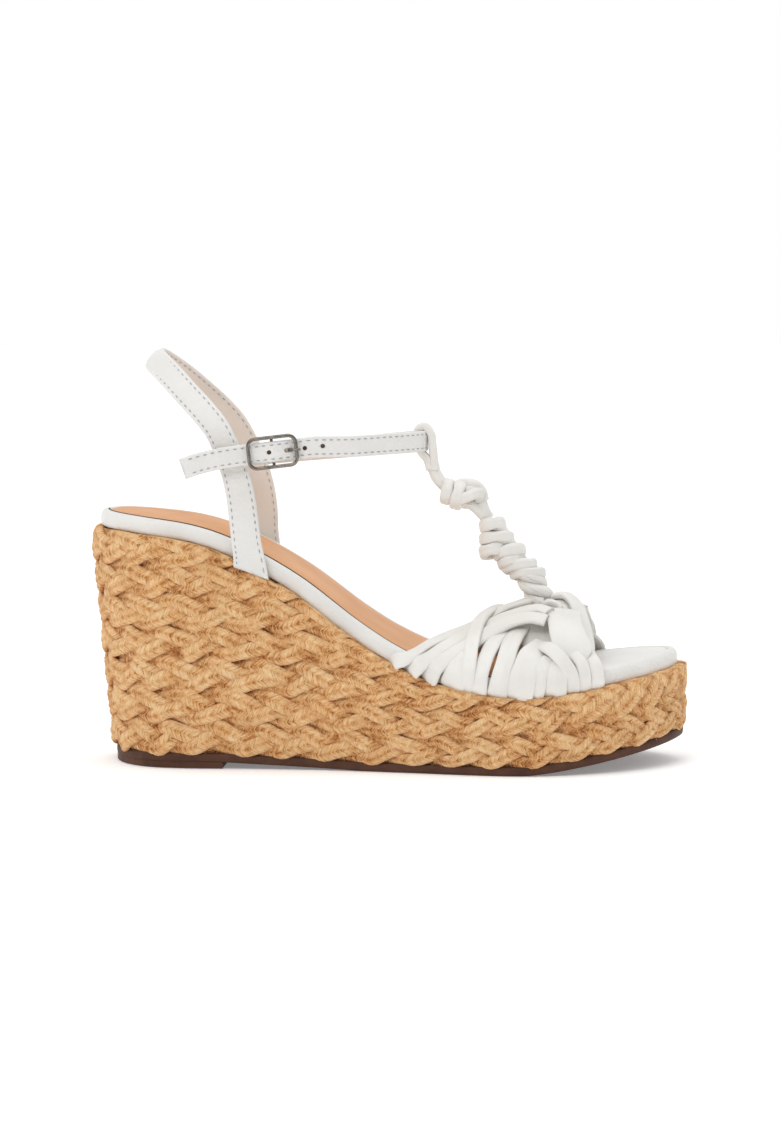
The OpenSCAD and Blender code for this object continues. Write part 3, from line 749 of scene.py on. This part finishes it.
# The heel strap from its lateral foot to the middle of the back: place, direction it faces, extra width
HEEL_HALF = np.array([
    (63.5, -33.3, 75.2, 0, -1, 0, 3.6), (62.8, -32.6, 79.5, 0, -1, 0, 2.6), (61.6, -32, 86, 0, -1, 0, 1.4),
    (60.6, -31.8, 95, 0, -1, 0, 1.2), (59.2, -31.4, 105, 0, -1, 0.05, 0.8),
    (56.3, -30.6, 116, -0.05, -1, 0.1, 0.4), (51, -28.4, 128, -0.12, -0.95, 0.25, 0),
    (45.5, -25.6, 135, -0.16, -0.92, 0.35, 0), (38.5, -21.5, 142, -0.3, -0.8, 0.45, 0),
    (30.5, -14.5, 149.5, -0.5, -0.55, 0.6, 0), (24, -5, 154.8, -0.68, -0.2, 0.68, 0)])
# How far back the medial half stands at the same heights
MEDIAL_BACK = [1.2, 0.8, 0, -0.8, -0.8, -0.4, 0, 0, 0, 0, 0]
HEEL_STRAP_W, ANKLE_STRAP_W, FOOT_X = 10.0, 8.0, 63.2


def slant_feet(shape):
    """The feet of the heel strap end in line with the top of the jute."""
    for verts in shape.verts:
        share = np.interp(verts[:, 2], [76, 85], [1, 0])
        verts[:, 2] += share * (top_at(verts[:, 0]) - top_at(FOOT_X))


def heel_strap():
    """The strap round the heel: leather outside, lining inside, both stitched."""
    far = HEEL_HALF * [1, -1, 1, 1, -1, 1, 1]
    far[:, 0] -= MEDIAL_BACK
    fine, _ = resample(spline(np.vstack([HEEL_HALF, far[::-1]]), 6), 1.5)
    path, outward, width = fine[:, :3], fine[:, 3:6], HEEL_STRAP_W + fine[:, 6]
    middle = np.linspace(-1, 1, len(path)) * len(path) * 0.75
    crown = 1.5 * np.exp(-((middle / 14) ** 2))
    for side, sign, layer, trim, slot, node in (("outer", 1, LEATHER, 0, "white_leather", "heel_strap"),
                                                ("inner", -1, LINING, 0.1, "lining_leather",
                                                 "heel_strap_lining")):
        rings = np.array([strap_section(w - trim, layer) for w in width])
        rings[..., 1] += sign * crown[:, None] * (1 - (2 * rings[..., 0] / width[:, None]) ** 2)
        shape = Shape()
        shape.sweep(path, sign * outward, rings)
        slant_feet(shape)
        build(node + "_leather", shape, slot, node)
        stitch_rows("heel_strap_" + side, path, sign * outward, width, layer, finish=slant_feet)


# The buckle's own directions: u along the strap, v up, w outwards
BUCKLE_AT = np.array([72, -36.2, 121.4])
YAW, TILT = math.radians(5), math.radians(6.5)
AXIS_U = np.array([math.cos(TILT) * math.cos(YAW), math.cos(TILT) * math.sin(YAW), math.sin(TILT)])
AXIS_W = np.array([math.sin(YAW), -math.cos(YAW), 0])
AXIS_V = np.cross(AXIS_W, AXIS_U)
# The frame's wire, and the gap between it and the strap that runs under it
WIRE, FRAME_PLAY = 1.6, 0.6
UNDER_BARS = -WIRE / 2 - FRAME_PLAY - LEATHER
OVER_BAR = UNDER_BARS + 1.2


def at_buckle(u, v, w):
    """A point given in the buckle's own directions."""
    return BUCKLE_AT + u * AXIS_U + v * AXIS_V + w * AXIS_W


# The ankle strap's two halves, from the heel strap and from the T-bar: place, direction it faces
ANKLE_INNER = [
    (49, 32.4, 115.2, 0, 1, 0), (62, 33, 116.6, 0, 1, 0), (80, 31.5, 118.4, 0.1, 1, 0),
    (100, 25.5, 120.4, 0.4, 0.9, 0), (116, 15, 122.6, 0.7, 0.7, 0), (125.5, 5.5, 123.8, 0.93, 0.35, 0),
    (127.6, 0, 124.1, 1, 0, 0)]
ANKLE_OUTER = [
    (127.6, 0, 124.1, 1, 0, 0), (125.5, -5.5, 124, 0.93, -0.35, 0), (117.5, -15, 123.8, 0.7, -0.7, 0),
    (101, -27, 123.2, 0.4, -0.92, 0)]
# The ankle strap's way under the front bar, over the centre bar and on into the tail
THROUGH_BUCKLE = [(16, 0, UNDER_BARS), (9.1, 0, UNDER_BARS), (4.5, 0, UNDER_BARS + 0.6), (0, 0, OVER_BAR),
                  (-4.5, 0, UNDER_BARS + 0.6), (-9.1, 0, UNDER_BARS), (-12, 0, UNDER_BARS),
                  (-20, -0.3, UNDER_BARS), (-28, -1.2, UNDER_BARS), (-34.6, -2.6, UNDER_BARS)]
# The prong is through the first hole, and the others are open
FIRST_HOLE, HOLE_PITCH, HOLE_R = 5.5, 6.8, 0.85
HOLES = [FIRST_HOLE + k * HOLE_PITCH for k in (-1, 1, 2)]


def punch(obj):
    """Cut the buckle holes through the strap, the prong's own hole a little longer."""
    cutter = Shape()
    spots = [(u, 0) for u in HOLES] + [(FIRST_HOLE + 0.65, 0.8)]
    for u, longer in spots:
        ends = np.array([at_buckle(u, 0, UNDER_BARS - 0.2), at_buckle(u, 0, UNDER_BARS + 3)])
        section = round_section(HOLE_R, 20)
        section[:, 1] += np.sign(np.round(section[:, 1], 6)) * longer
        cutter.sweep(ends, AXIS_U, section)
    tool = build("hole_punch", cutter, None, material=SLOTS["white_leather"], ride=False)
    mod = obj.modifiers.new("holes", "BOOLEAN")
    mod.operation, mod.object, mod.solver = "DIFFERENCE", tool, "EXACT"
    cut = obj.evaluated_get(bpy.context.evaluated_depsgraph_get())
    mesh = bpy.data.meshes.new_from_object(cut)
    obj.modifiers.remove(mod)
    obj.data = mesh
    bpy.data.objects.remove(tool)


def punched_hole_insides():
    """A shallow cup in each open hole, down to the lining, dark as painted shadow for the hole's shaded
    inside.
    """
    shape = Shape()
    for u in HOLES:
        floor_w = UNDER_BARS + 0.05 + np.interp(abs(u), [0, 4.5, 9.1], [1.2, 0.62, 0])
        depths = [floor_w + 0.5, floor_w + 0.12, floor_w, floor_w]
        radii = [HOLE_R - 0.03, HOLE_R - 0.03, HOLE_R - 0.1, 0.02]
        path = np.array([at_buckle(u, 0, d + 0.001 * k) for k, d in enumerate(depths[::-1])])
        shape.sweep(path, AXIS_U, [round_section(r, 16) for r in radii[::-1]])
    build("buckle_hole_shadow_cups", shape, "lining_leather", material=PAINTED_SHADOW)


def ankle_strap():
    """The inner half is sewn down; the buckle half ends in the tail, whose pieces ride on no body."""
    through = [(*at_buckle(*p), *AXIS_W) for p in THROUGH_BUCKLE]
    for name, route, node in (("ankle_strap_inner_half", ANKLE_INNER, "ankle_strap"),
                              ("ankle_strap_buckle_half", ANKLE_OUTER + through, "strap_tail")):
        fine, _ = resample(spline(route, 8), 1.0)
        path, outward = fine[:, :3], fine[:, 3:6]
        bends = node == "strap_tail"
        top, lining = Shape(), Shape()
        top.sweep(path, outward, strap_section(ANKLE_STRAP_W, LEATHER))
        lining.sweep(path, -outward, strap_section(ANKLE_STRAP_W - 0.1, LINING))
        pieces = [build(name, top, "white_leather", node, ride=not bends),
                  build(name + "_lining", lining, "lining_leather", node + "_lining", ride=not bends)]
        if bends:
            punch(pieces[0])
        widths = np.full(len(path), ANKLE_STRAP_W)
        pieces.append(stitch_rows(name, path, outward, widths, LEATHER, ride=not bends))
        if bends:
            for piece in pieces:
                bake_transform(piece)
    punched_hole_insides()


# The centre bar's and the prong's wire; the frame's length, width and corner radius
BAR, PRONG_WIRE = 1.2, 1.0
BUCKLE_L, BUCKLE_W, BUCKLE_CORNER = 19.8, 12.8, 2.8
# The bar lies under the strap that crosses it
BAR_DEPTH = OVER_BAR - LINING - 0.05 - 1.4
FRAME_U, FRAME_V = (BUCKLE_L - WIRE) / 2, (BUCKLE_W - WIRE) / 2


def buckle_frame():
    """A bent wire frame with a dropped centre bar."""
    corners = []
    for q in range(4):
        cu = (FRAME_U - BUCKLE_CORNER) * (1 if q in (0, 3) else -1)
        cv = (FRAME_V - BUCKLE_CORNER) * (1 if q < 2 else -1)
        for a in np.radians(np.linspace(90 * q, 90 * q + 90, 9)):
            corners.append((cu + BUCKLE_CORNER * math.cos(a), cv + BUCKLE_CORNER * math.sin(a)))
    loop, _ = resample(np.array(corners), 0.5, closed=True)
    shape = Shape()
    path = [at_buckle(u, v, 0) for u, v in loop]
    shape.sweep(path, AXIS_W, round_section(WIRE * 0.43, 16), closed=True)
    drop = [(0, -FRAME_V, 0.2), (0, -FRAME_V, BAR_DEPTH * 0.6), (0, -FRAME_V + 0.35, BAR_DEPTH - 0.02)]
    route = drop + [(0, v, BAR_DEPTH) for v in (-4.4, -2, 2, 4.4)] + [(u, -v, w) for u, v, w in drop[::-1]]
    bar, _ = resample(spline(route, 6), 0.4)
    shape.sweep([at_buckle(*p) for p in bar], AXIS_U, round_section(BAR / 2))
    build("buckle_frame_wire", shape, "nickel", "buckle_frame", body="buckle_frame")


def buckle_prong():
    """The prong is a wire wrapped round the bar; it comes up through its hole to the front bar."""
    rest = WIRE / 2 + PRONG_WIRE / 2 + 0.05
    ring_r = 0.935
    turn = np.radians(np.linspace(90, 345, 12))
    wrap = [(ring_r * math.cos(a), 0, BAR_DEPTH + ring_r * math.sin(a)) for a in turn]
    route = wrap[:-1] + [(1.3, 0, BAR_DEPTH - 0.5), (2.8, 0, BAR_DEPTH - 0.85), (4.9, 0, BAR_DEPTH - 0.7),
                         (6.1, 0, BAR_DEPTH + 1.1), (6.9, 0, BAR_DEPTH + 3), (7.9, 0, rest - 0.35),
                         (FRAME_U, 0, rest), (FRAME_U + 1.7, 0, rest - 0.15)]
    line, at = resample(spline(route, 5), 0.3)
    left = at[-1] - at
    radius = PRONG_WIRE / 2 * np.clip(0.35 + np.sqrt(left / 1.2), 0, 1)
    shape = Shape()
    shape.sweep([at_buckle(*p) for p in line], AXIS_V, [round_section(r) for r in radius])
    build("buckle_prong_wire", shape, "nickel", "buckle_prong", body="buckle_prong")


# ---------- soft bands, for the T-bar and the vamp
def smooth_route(points, spacing=0.9):
    """A smooth path through the points, in even steps."""
    fine, _ = resample(spline(points, 8), spacing)
    return fine


def soft_band(shape, path, normals, width, thick, seed, creases=2, power=3.2):
    """A folded leather band: rounded edges, slightly uneven, with a few shallow lengthwise creases."""
    n = len(path)
    f = np.linspace(0, 1, n)
    width = np.broadcast_to(width, n) * (1 + 0.035 * wobble(f, 3, seed))
    x, y = oval(26, 2 / power)
    section = np.stack([x * width[:, None], np.tile(y * thick, (n, 1))], axis=-1)
    section[..., 1] += 0.1 * (1 - (2 * x) ** 2) * (y > 0)
    r = np.random.default_rng(seed + 1000)
    for k in range(creases):
        where = r.uniform(-0.32, 0.32) + 0.08 * wobble(f, 2, seed + 50 + k)
        deep = 0.16 * np.clip(0.4 + wobble(f, 2, seed + 70 + k), 0, 1)
        dip = deep[:, None] * np.exp(-(((x - where[:, None]) * width[:, None] / 0.42) ** 2))
        section[..., 1] -= dip * (y > 0.1)
    shape.sweep(path, normals, section, uv_offset=(seed * 23.0, seed * 11.0))


def cord(shape, points, facing, width, thick, seed, creases=1, power=3.2):
    """A soft band through a few points, which faces one way all along."""
    soft_band(shape, smooth_route(points), facing, width, thick, seed, creases, power)


def ring_band(shape, centre, radius, lean, width, thick, seed, squash=1.0, skew=0.0):
    """One turn of a band round the cord, in a plane that leans back by an angle about y."""
    turn = np.linspace(0, 2 * math.pi, 65)[:-1]
    lean = math.radians(lean)
    across = np.array([math.sin(lean), 0, math.cos(lean)])
    axis = np.array([math.cos(lean), 0, -math.sin(lean)])
    out = across * np.cos(turn)[:, None] * squash + np.array([0, 1, 0]) * np.sin(turn)[:, None]
    path = np.array(centre) + radius * (out + axis * skew * np.sin(turn)[:, None])
    section = np.stack(oval(24, 0.8), axis=1) * [width, thick]
    section[:, 1] -= 0.16 * np.exp(-((section[:, 0] / 0.35) ** 2)) * (section[:, 1] > 0.2 * thick)
    wave = 1 + 0.07 * np.sin(3 * turn + seed) + 0.04 * np.sin(5 * turn + 2 * seed)
    waves = np.stack([wave, 0.5 + 0.5 * wave[::-1]], axis=-1)
    shape.sweep(path, out, section * waves[:, None], closed=True, uv_offset=(seed * 13.0, 0))


# ---------- T-bar
# The T-bar lies in the middle plane, y = 0. Each point of its loop: x, z, and the x and z it faces
LOOP_ROUTE = [(131.6, 112.6, 1, 0.1), (131, 117, 1, 0), (130.4, 122.5, 1, 0.1), (129.9, 126.4, 0.9, 0.4),
              (127.6, 129.4, 0.1, 1), (124.9, 128, -0.8, 0.6), (124.6, 123, -1, 0),
              (126.4, 119.4, -0.9, -0.3), (128.4, 117, -0.8, -0.5), (129.6, 112.8, -0.9, -0.2)]


def tbar_loop():
    route = smooth_route([(x, 0, z, nx, 0, nz) for x, z, nx, nz in LOOP_ROUTE], 0.6)
    shape = Shape()
    soft_band(shape, route[:, :3], route[:, 3:6], 5.2, 3.1, 3, creases=1)
    build("tbar_loop_band", shape, "soft_white_leather", "tbar_loop")


def tbar_knot():
    """A double knot: two turns side by side, and the end folded over on the toe side."""
    shape = Shape()
    ring_band(shape, (136.2, 0, 104.3), 3.6, 11, 4.5, 3.3, 1)
    ring_band(shape, (140.4, 0, 102.9), 4.25, 14, 5.0, 3.3, 2)
    arc = [(140.5, 2.5, 106.6), (143.6, 1.2, 107.3), (147.3, 0.2, 106.5), (149.6, 0, 103.6),
           (149.4, 0, 100.4), (150.4, 0, 97.4), (152.4, 0, 94)]
    cord(shape, arc, (0.05, -1, 0.05), 4.6, 4.8, 11, power=2.4)
    back = [(141.5, 0, 102.6), (144.5, -0.8, 104), (148, -0.5, 103.4), (149.6, 0, 100.6)]
    cord(shape, back, (0, -1, 0), 6, 5, 12, creases=0, power=2.4)
    fold = smooth_route([(140.8, -1.5, 101.2), (142.6, -4.4, 101.9), (145.6, -5.2, 103.3),
                         (148.2, -4.4, 104.2), (149.8, -2, 103.4)])
    x, _, z = fold.T
    face = unit(np.stack([(x - 146) * 0.25, np.full(len(x), -1), (z - 103) * 0.1], axis=1))
    soft_band(shape, fold, face, 4.3, 2.9, 13, creases=1, power=2.6)
    lower = [(142.4, -0.8, 99.7), (145.4, -1.6, 99.4), (148, -1.2, 97.4), (150.6, -0.5, 94.6),
             (152.2, 0, 92.6)]
    cord(shape, lower, (0.1, -1, 0.1), 3.9, 3.9, 14, power=2.2)
    build("tbar_knot_cord", shape, "soft_white_leather", "tbar_knot")


# Each turn of the coil: x and z of its middle, its length from the side, its rise to the front, its width
COIL = [(153.8, 91.2, 10.8, 10, 4.9), (155.4, 86.2, 14, 4, 4.5), (154.2, 81.4, 11.6, 12, 5),
        (160.4, 81, 13.4, 14, 4.6), (161, 77.2, 11, 16, 4), (164.2, 75.6, 14.2, 8, 4.5),
        (167.4, 72.6, 14.4, 5, 3.8)]


def tbar_wraps():
    """The coil: uneven turns round the lower cord, each one tilted a little differently."""
    shape, thick = Shape(), 2.9
    for k, (x, z, length, rise, width) in enumerate(COIL):
        radius = 4.3 - 0.12 * k
        squash = (length - thick) / 2 / radius
        ring_band(shape, (x, 0, z), radius, 90 - rise, width, thick, 21 + k, squash, skew=0.28)
    build("tbar_wrap_coil", shape, "soft_white_leather", "tbar_wraps")


def tbar_cords():
    """The cord above the knot, and the twisted bundle that runs through the coil and out of it."""
    shape = Shape()
    upper = [(130.6, 0, 115), (131.2, 0, 112.4), (132.8, 0, 109.2), (135.4, 0, 106.6), (138, 0, 105)]
    cord(shape, upper, (0, -1, 0), 4.7, 4.7, 31, creases=2, power=2.2)
    middle = smooth_route([(153.8, 0, 92.4), (160, 0, 83), (168.2, 0, 70.6), (170.6, 0, 66.6),
                           (173.4, 0, 61.5)], 0.7)
    f = np.linspace(0, 1, len(middle))
    side = np.cross(unit(np.gradient(middle, axis=0)), [0, 1, 0])
    for k in range(3):
        angle = 2 * math.pi * (k / 3 + f * 2.1)
        spread = 1.5 + 1.8 * np.clip((f - 0.55) / 0.2, 0, 1)
        path = middle + side * (spread * np.cos(angle))[:, None]
        path[:, 1] += spread * np.sin(angle)
        soft_band(shape, path, side, 4.8, 4.2, 32 + k, power=2.3)
    build("tbar_cords", shape, "soft_white_leather", "tbar_cord")


# ---------- vamp
VAMP_T = 2.2
# The joint between jute and binding on each side, and the top line of the vamp seen from the side
LATERAL_EDGE = np.array([(100, -33.4), (122, -36.4), (150, -41.8), (166, -42.8), (182, -40.4), (200, -33),
                         (210, -26)]).T
MEDIAL_EDGE = np.array([(100, 30), (130, 34.8), (158, 39.2), (180, 39.8), (200, 36.6), (215, 29.5)]).T
RIDGE = np.array([(104, 50.5), (114, 48), (125, 50), (137, 53.5), (150, 57), (160, 59.5), (170, 61.5),
                  (178, 62.3), (186, 60), (194, 52.5), (204, 47)]).T
# How far forward and how much lower the straps of the inner side stand
MEDIAL_FORWARD, MEDIAL_DROP = 3, 2.4
# How square the dome of the vamp is across: an ellipse at 2
DOME_POWER = 1.7
# Each strap: where it leaves the edge, its width, and its (x, height, lift) on the way up; a missing
# lift is 0. The last strap starts inside the others, on the toe cover.
STRAPS = [
    (118, 5, [(122, 43.2), (126, 45.2), (132, 48.2), (138.6, 50.8), (145, 53), (151.5, 55.8, 0.3),
              (158.5, 58.6, 0.9), (166, 60.4, 1.6), (172, 61.8, 1.6), (177, 62.8, 1.6)]),
    (124.5, 5.4, [(128, 41.5), (131.8, 43.9), (136, 46.6), (141, 49.2), (147, 51.8), (154, 54.8, 0.2),
                  (162, 57.3, 1), (171, 59, 1.6), (176.5, 58.4, 1.2)]),
    (131, 6, [(133.6, 40.2), (136.8, 42.6), (140, 44.6), (144, 46.8), (148.4, 49.2), (152.5, 51.4, 0.2),
              (157, 53.3, 1), (163, 55.3, 1.6), (169.3, 56.3, 1.8), (175.4, 56, 1)]),
    (140.4, 7, [(141.3, 38), (143.4, 41.4), (146.6, 44.8, -0.4)]),
    (145.8, 5, [(146.6, 38, 0.6), (147.3, 42.4, 1.6), (148.1, 47.7, 2.2), (149.6, 53, 2.4),
                (152.2, 56, 2.2), (156, 58.6, 1)]),
    (150.2, 5.6, [(151.2, 38), (152.3, 42), (154.1, 46.5, -0.2), (156.2, 50.2, -0.8), (159, 54.2, -1.6),
                  (161.6, 57, -2.4)]),
    (157.2, 6.6, [(159.1, 38.5), (160.7, 43.8), (161.9, 48.5, -0.6), (163.6, 52.4, -1.6), (165.4, 56, -2.6)]),
    (165.6, 9.4, [(167.3, 38), (168.8, 42.4, -0.2), (170.4, 45.4, -1.2), (172.6, 48, -3), (175.4, 50.6, -5)]),
    (171.8, 5.2, [(173.6, 37.6), (175.2, 41.2, -0.4), (176.8, 44.2, -1.6)]),
    (179.1, 7.4, [(180, 37), (180.8, 40, -0.4), (181.2, 42.4, -1.2)]),
    (185.8, 5, [(185.4, 36.8, 0.2), (183.7, 40.5, 0.8), (180.3, 44.5, 1.2), (176.2, 47.8),
                (173.6, 49.8, -3.4)]),
    (190, 4.6, [(190, 38, 0.3), (188.8, 42, 0.2), (186.4, 45.2, -0.8), (184, 47.6, -2)]),
    (194.9, 5, [(194.8, 37.6), (194.2, 41), (192, 44.8, -0.8), (189.4, 47.6, -2)]),
    (None, 13, [(186.8, 43, -2), (185.8, 46.6, -0.8), (184.4, 50, 0.2), (183, 53.4, 0.7), (182, 56.6, 0.8),
                (181.4, 59.4)])]
# How much wider the straps flare near the edge: the first one, the next three, and the rest
FLARE = [0.2] + [0.42] * 3 + [0.14] * 10


def dome_normals(p, share=0.4, middle=170):
    """Outwards on the dome over the toes; share is how much it faces to heel or toe off its middle."""
    x, y, z = np.atleast_2d(p).T
    return unit(np.stack([(x - middle) * share, y, (z - 28) * 1.2], axis=1))


def on_dome(x, z, lift=0):
    """A point on the dome over the toes at x and height z, lifted off it."""
    low = top_at(x) + 5
    s = np.clip((z - low) / (np.interp(x, *RIDGE) - low), 0, 1)
    y = (np.interp(x, *LATERAL_EDGE) - 1.3) * (1 - s**DOME_POWER) ** (1 / DOME_POWER)
    p = np.array([x, y, z])
    return p + lift * dome_normals(p)[0]


def medial_shift(x):
    """The inner side starts further forward, the more so towards the back, and level at the toe."""
    return MEDIAL_FORWARD * (1 + np.clip((160 - x) / 30, 0, 1) - np.clip((x - 180) / 8, 0, 1))


def to_medial(p):
    """The point on the inner side that matches one on the outer side."""
    x = p[0] + medial_shift(p[0])
    y = -p[1] * np.interp(x, *MEDIAL_EDGE) / abs(np.interp(p[0], *LATERAL_EDGE))
    return np.array([x, y, p[2] - MEDIAL_DROP * np.clip((160 - p[0]) / 30, 0, 1)])


def strap_foot(x, first, side):
    """A strap comes up out of the joint between the jute and the binding."""
    edge = np.interp(x, *(LATERAL_EDGE if side < 0 else MEDIAL_EDGE))
    return [(x - 0.3 * (first - x), edge - side * 4.6, top_at(x) - 4),
            (x - 0.1 * (first - x), edge - side * 1.8, top_at(x) - 1.8),
            (x + 0.2 * (first - x), edge + side * (VAMP_T / 2 + 0.15), top_at(x) + 1.2)]


def vamp_straps():
    """The woven straps of both sides; the longest ones end a point earlier on the inner side."""
    for side, name in ((-1, "lateral"), (1, "medial")):
        for i, (start, width, marks) in enumerate(STRAPS, 1):
            path = [on_dome(*m) for m in marks]
            if side > 0:
                path = [to_medial(p) for p in (path[:-1] if len(path) > 8 else path)]
                start = None if start is None else start + medial_shift(start)
            if start is not None:
                path = strap_foot(start, path[0][0], side) + path
            path = smooth_route(path, 1.1)
            run = np.linspace(0, 1.1 * len(path), len(path))
            wide = (width + 0.4) * (1 + FLARE[i - 1] * np.exp(-(((run - 6) / 7) ** 2)))
            wide *= 0.6 + 0.4 * np.clip(run / 4, 0, 1)
            shape = Shape()
            soft_band(shape, path, dome_normals(path), wide, VAMP_T, i * 3 + side + 40)
            build(f"vamp_{name}_band_{i}", shape, "soft_white_leather", f"vamp_{name}_{i}")


def over_facing(p):
    """Mostly upwards, as the band that crosses over the knot lies."""
    return unit(np.stack([(p[:, 0] - 178) * 0.1, (p[:, 1] - 2) * 0.06, np.full(len(p), 0.8)], axis=1))


def curl_facing(p):
    """Upwards and outwards, as the curled end of the knot lies."""
    return unit(np.stack([(p[:, 0] - 174) * 0.2, np.full(len(p), -0.3), np.full(len(p), 0.7)], axis=1))


# Each band of the knot: route, the way it faces, its width at shares of the way, thickness and seed
KNOT_BANDS = [
    ([(174.5, 2.5, 62), (178, 0.5, 64), (182.4, -2, 64.4), (186, -5.5, 61.6), (188, -10, 57.2),
      (189.2, -15.5, 52.8), (189.8, -21.5, 48.8), (190, -27, 44.6), (189.8, -31, 40), (189.4, -32.8, 34.5)],
     over_facing, [(0, 6), (0.6, 9.5), (1, 8)], 2.6, 91),
    ([(173.7, 1.5, 60.4), (177.2, 3.5, 62.4), (181.6, 6, 62.8), (185.2, 9.5, 60), (187.2, 15, 56.4),
      (188.2, 22, 52.4), (188.4, 29, 47.8), (188.2, 35, 42.4), (188, 38.8, 37), (188, 38.2, 31.5)],
     lambda p: dome_normals(p, 0.6, 178), [(0, 6), (1, 10)], 2.6, 95),
    ([(173, -3, 61.6), (177, -5, 62), (180.4, -7.4, 60.4), (180.6, -9, 57.6), (179, -10.5, 55)],
     curl_facing, [(0, 4.6)], 2.3, 92),
    ([(176, -1, 60.4), (180, -3.5, 61), (183.6, -6, 59.4), (185.4, -9, 56)],
     lambda p: (0.3, -0.3, 1), [(0, 8)], 3.4, 93),
    ([(169.5, 3, 58), (171.2, 13, 54.4), (172.6, 21, 49), (173.6, 27.5, 43), (174.2, 32.5, 38),
      (174.6, 36, 32)], lambda p: dome_normals(p, 0), [(0, 14)], 1.8, 94),
    ([(171, -4, 59.4), (172, -13, 56.2), (173.5, -21.5, 51.6), (175, -28, 46.4), (176, -32.5, 40.5),
      (176.4, -35.4, 34)], lambda p: dome_normals(p, 0), [(0, 17)], 1.6, 96)]


def vamp_knot():
    """The bands that gather over the end of the T-bar and turn down to the toe."""
    shape = Shape()
    for points, facing, widths, thick, seed in KNOT_BANDS:
        path = smooth_route(points, 0.8)
        width = np.interp(np.linspace(0, 1, len(path)), *zip(*widths))
        soft_band(shape, path, facing(path), width, thick, seed)
    build("vamp_knot_bands", shape, "soft_white_leather", "vamp_knot")


set_stage()
outsole()
for i in range(1, COURSES + 1):
    jute_course(i)
edge_binding()
sock = pad("sock_lining_pad", 0, SOCK_END, "tan_leather", "sock_lining", 0.9)
sock_edge_shadow_line()
pad("toe_cover_leather", SOCK_END, 300, "white_leather", "toe_cover", 0.7)
heel_strap()
ankle_strap()
buckle_frame()
buckle_prong()
tbar_loop()
tbar_knot()
tbar_wraps()
tbar_cords()
vamp_straps()
vamp_knot()
jute_fibres()

# The CAD pieces that stay in sight have the same materials
slot_of = {part["node"]: part["material_slot"] for part in frame["record"]["subparts"]}
for node, obj in frame["nodes"].items():
    for holder in obj.material_slots:
        holder.material = SLOTS[slot_of[node]]
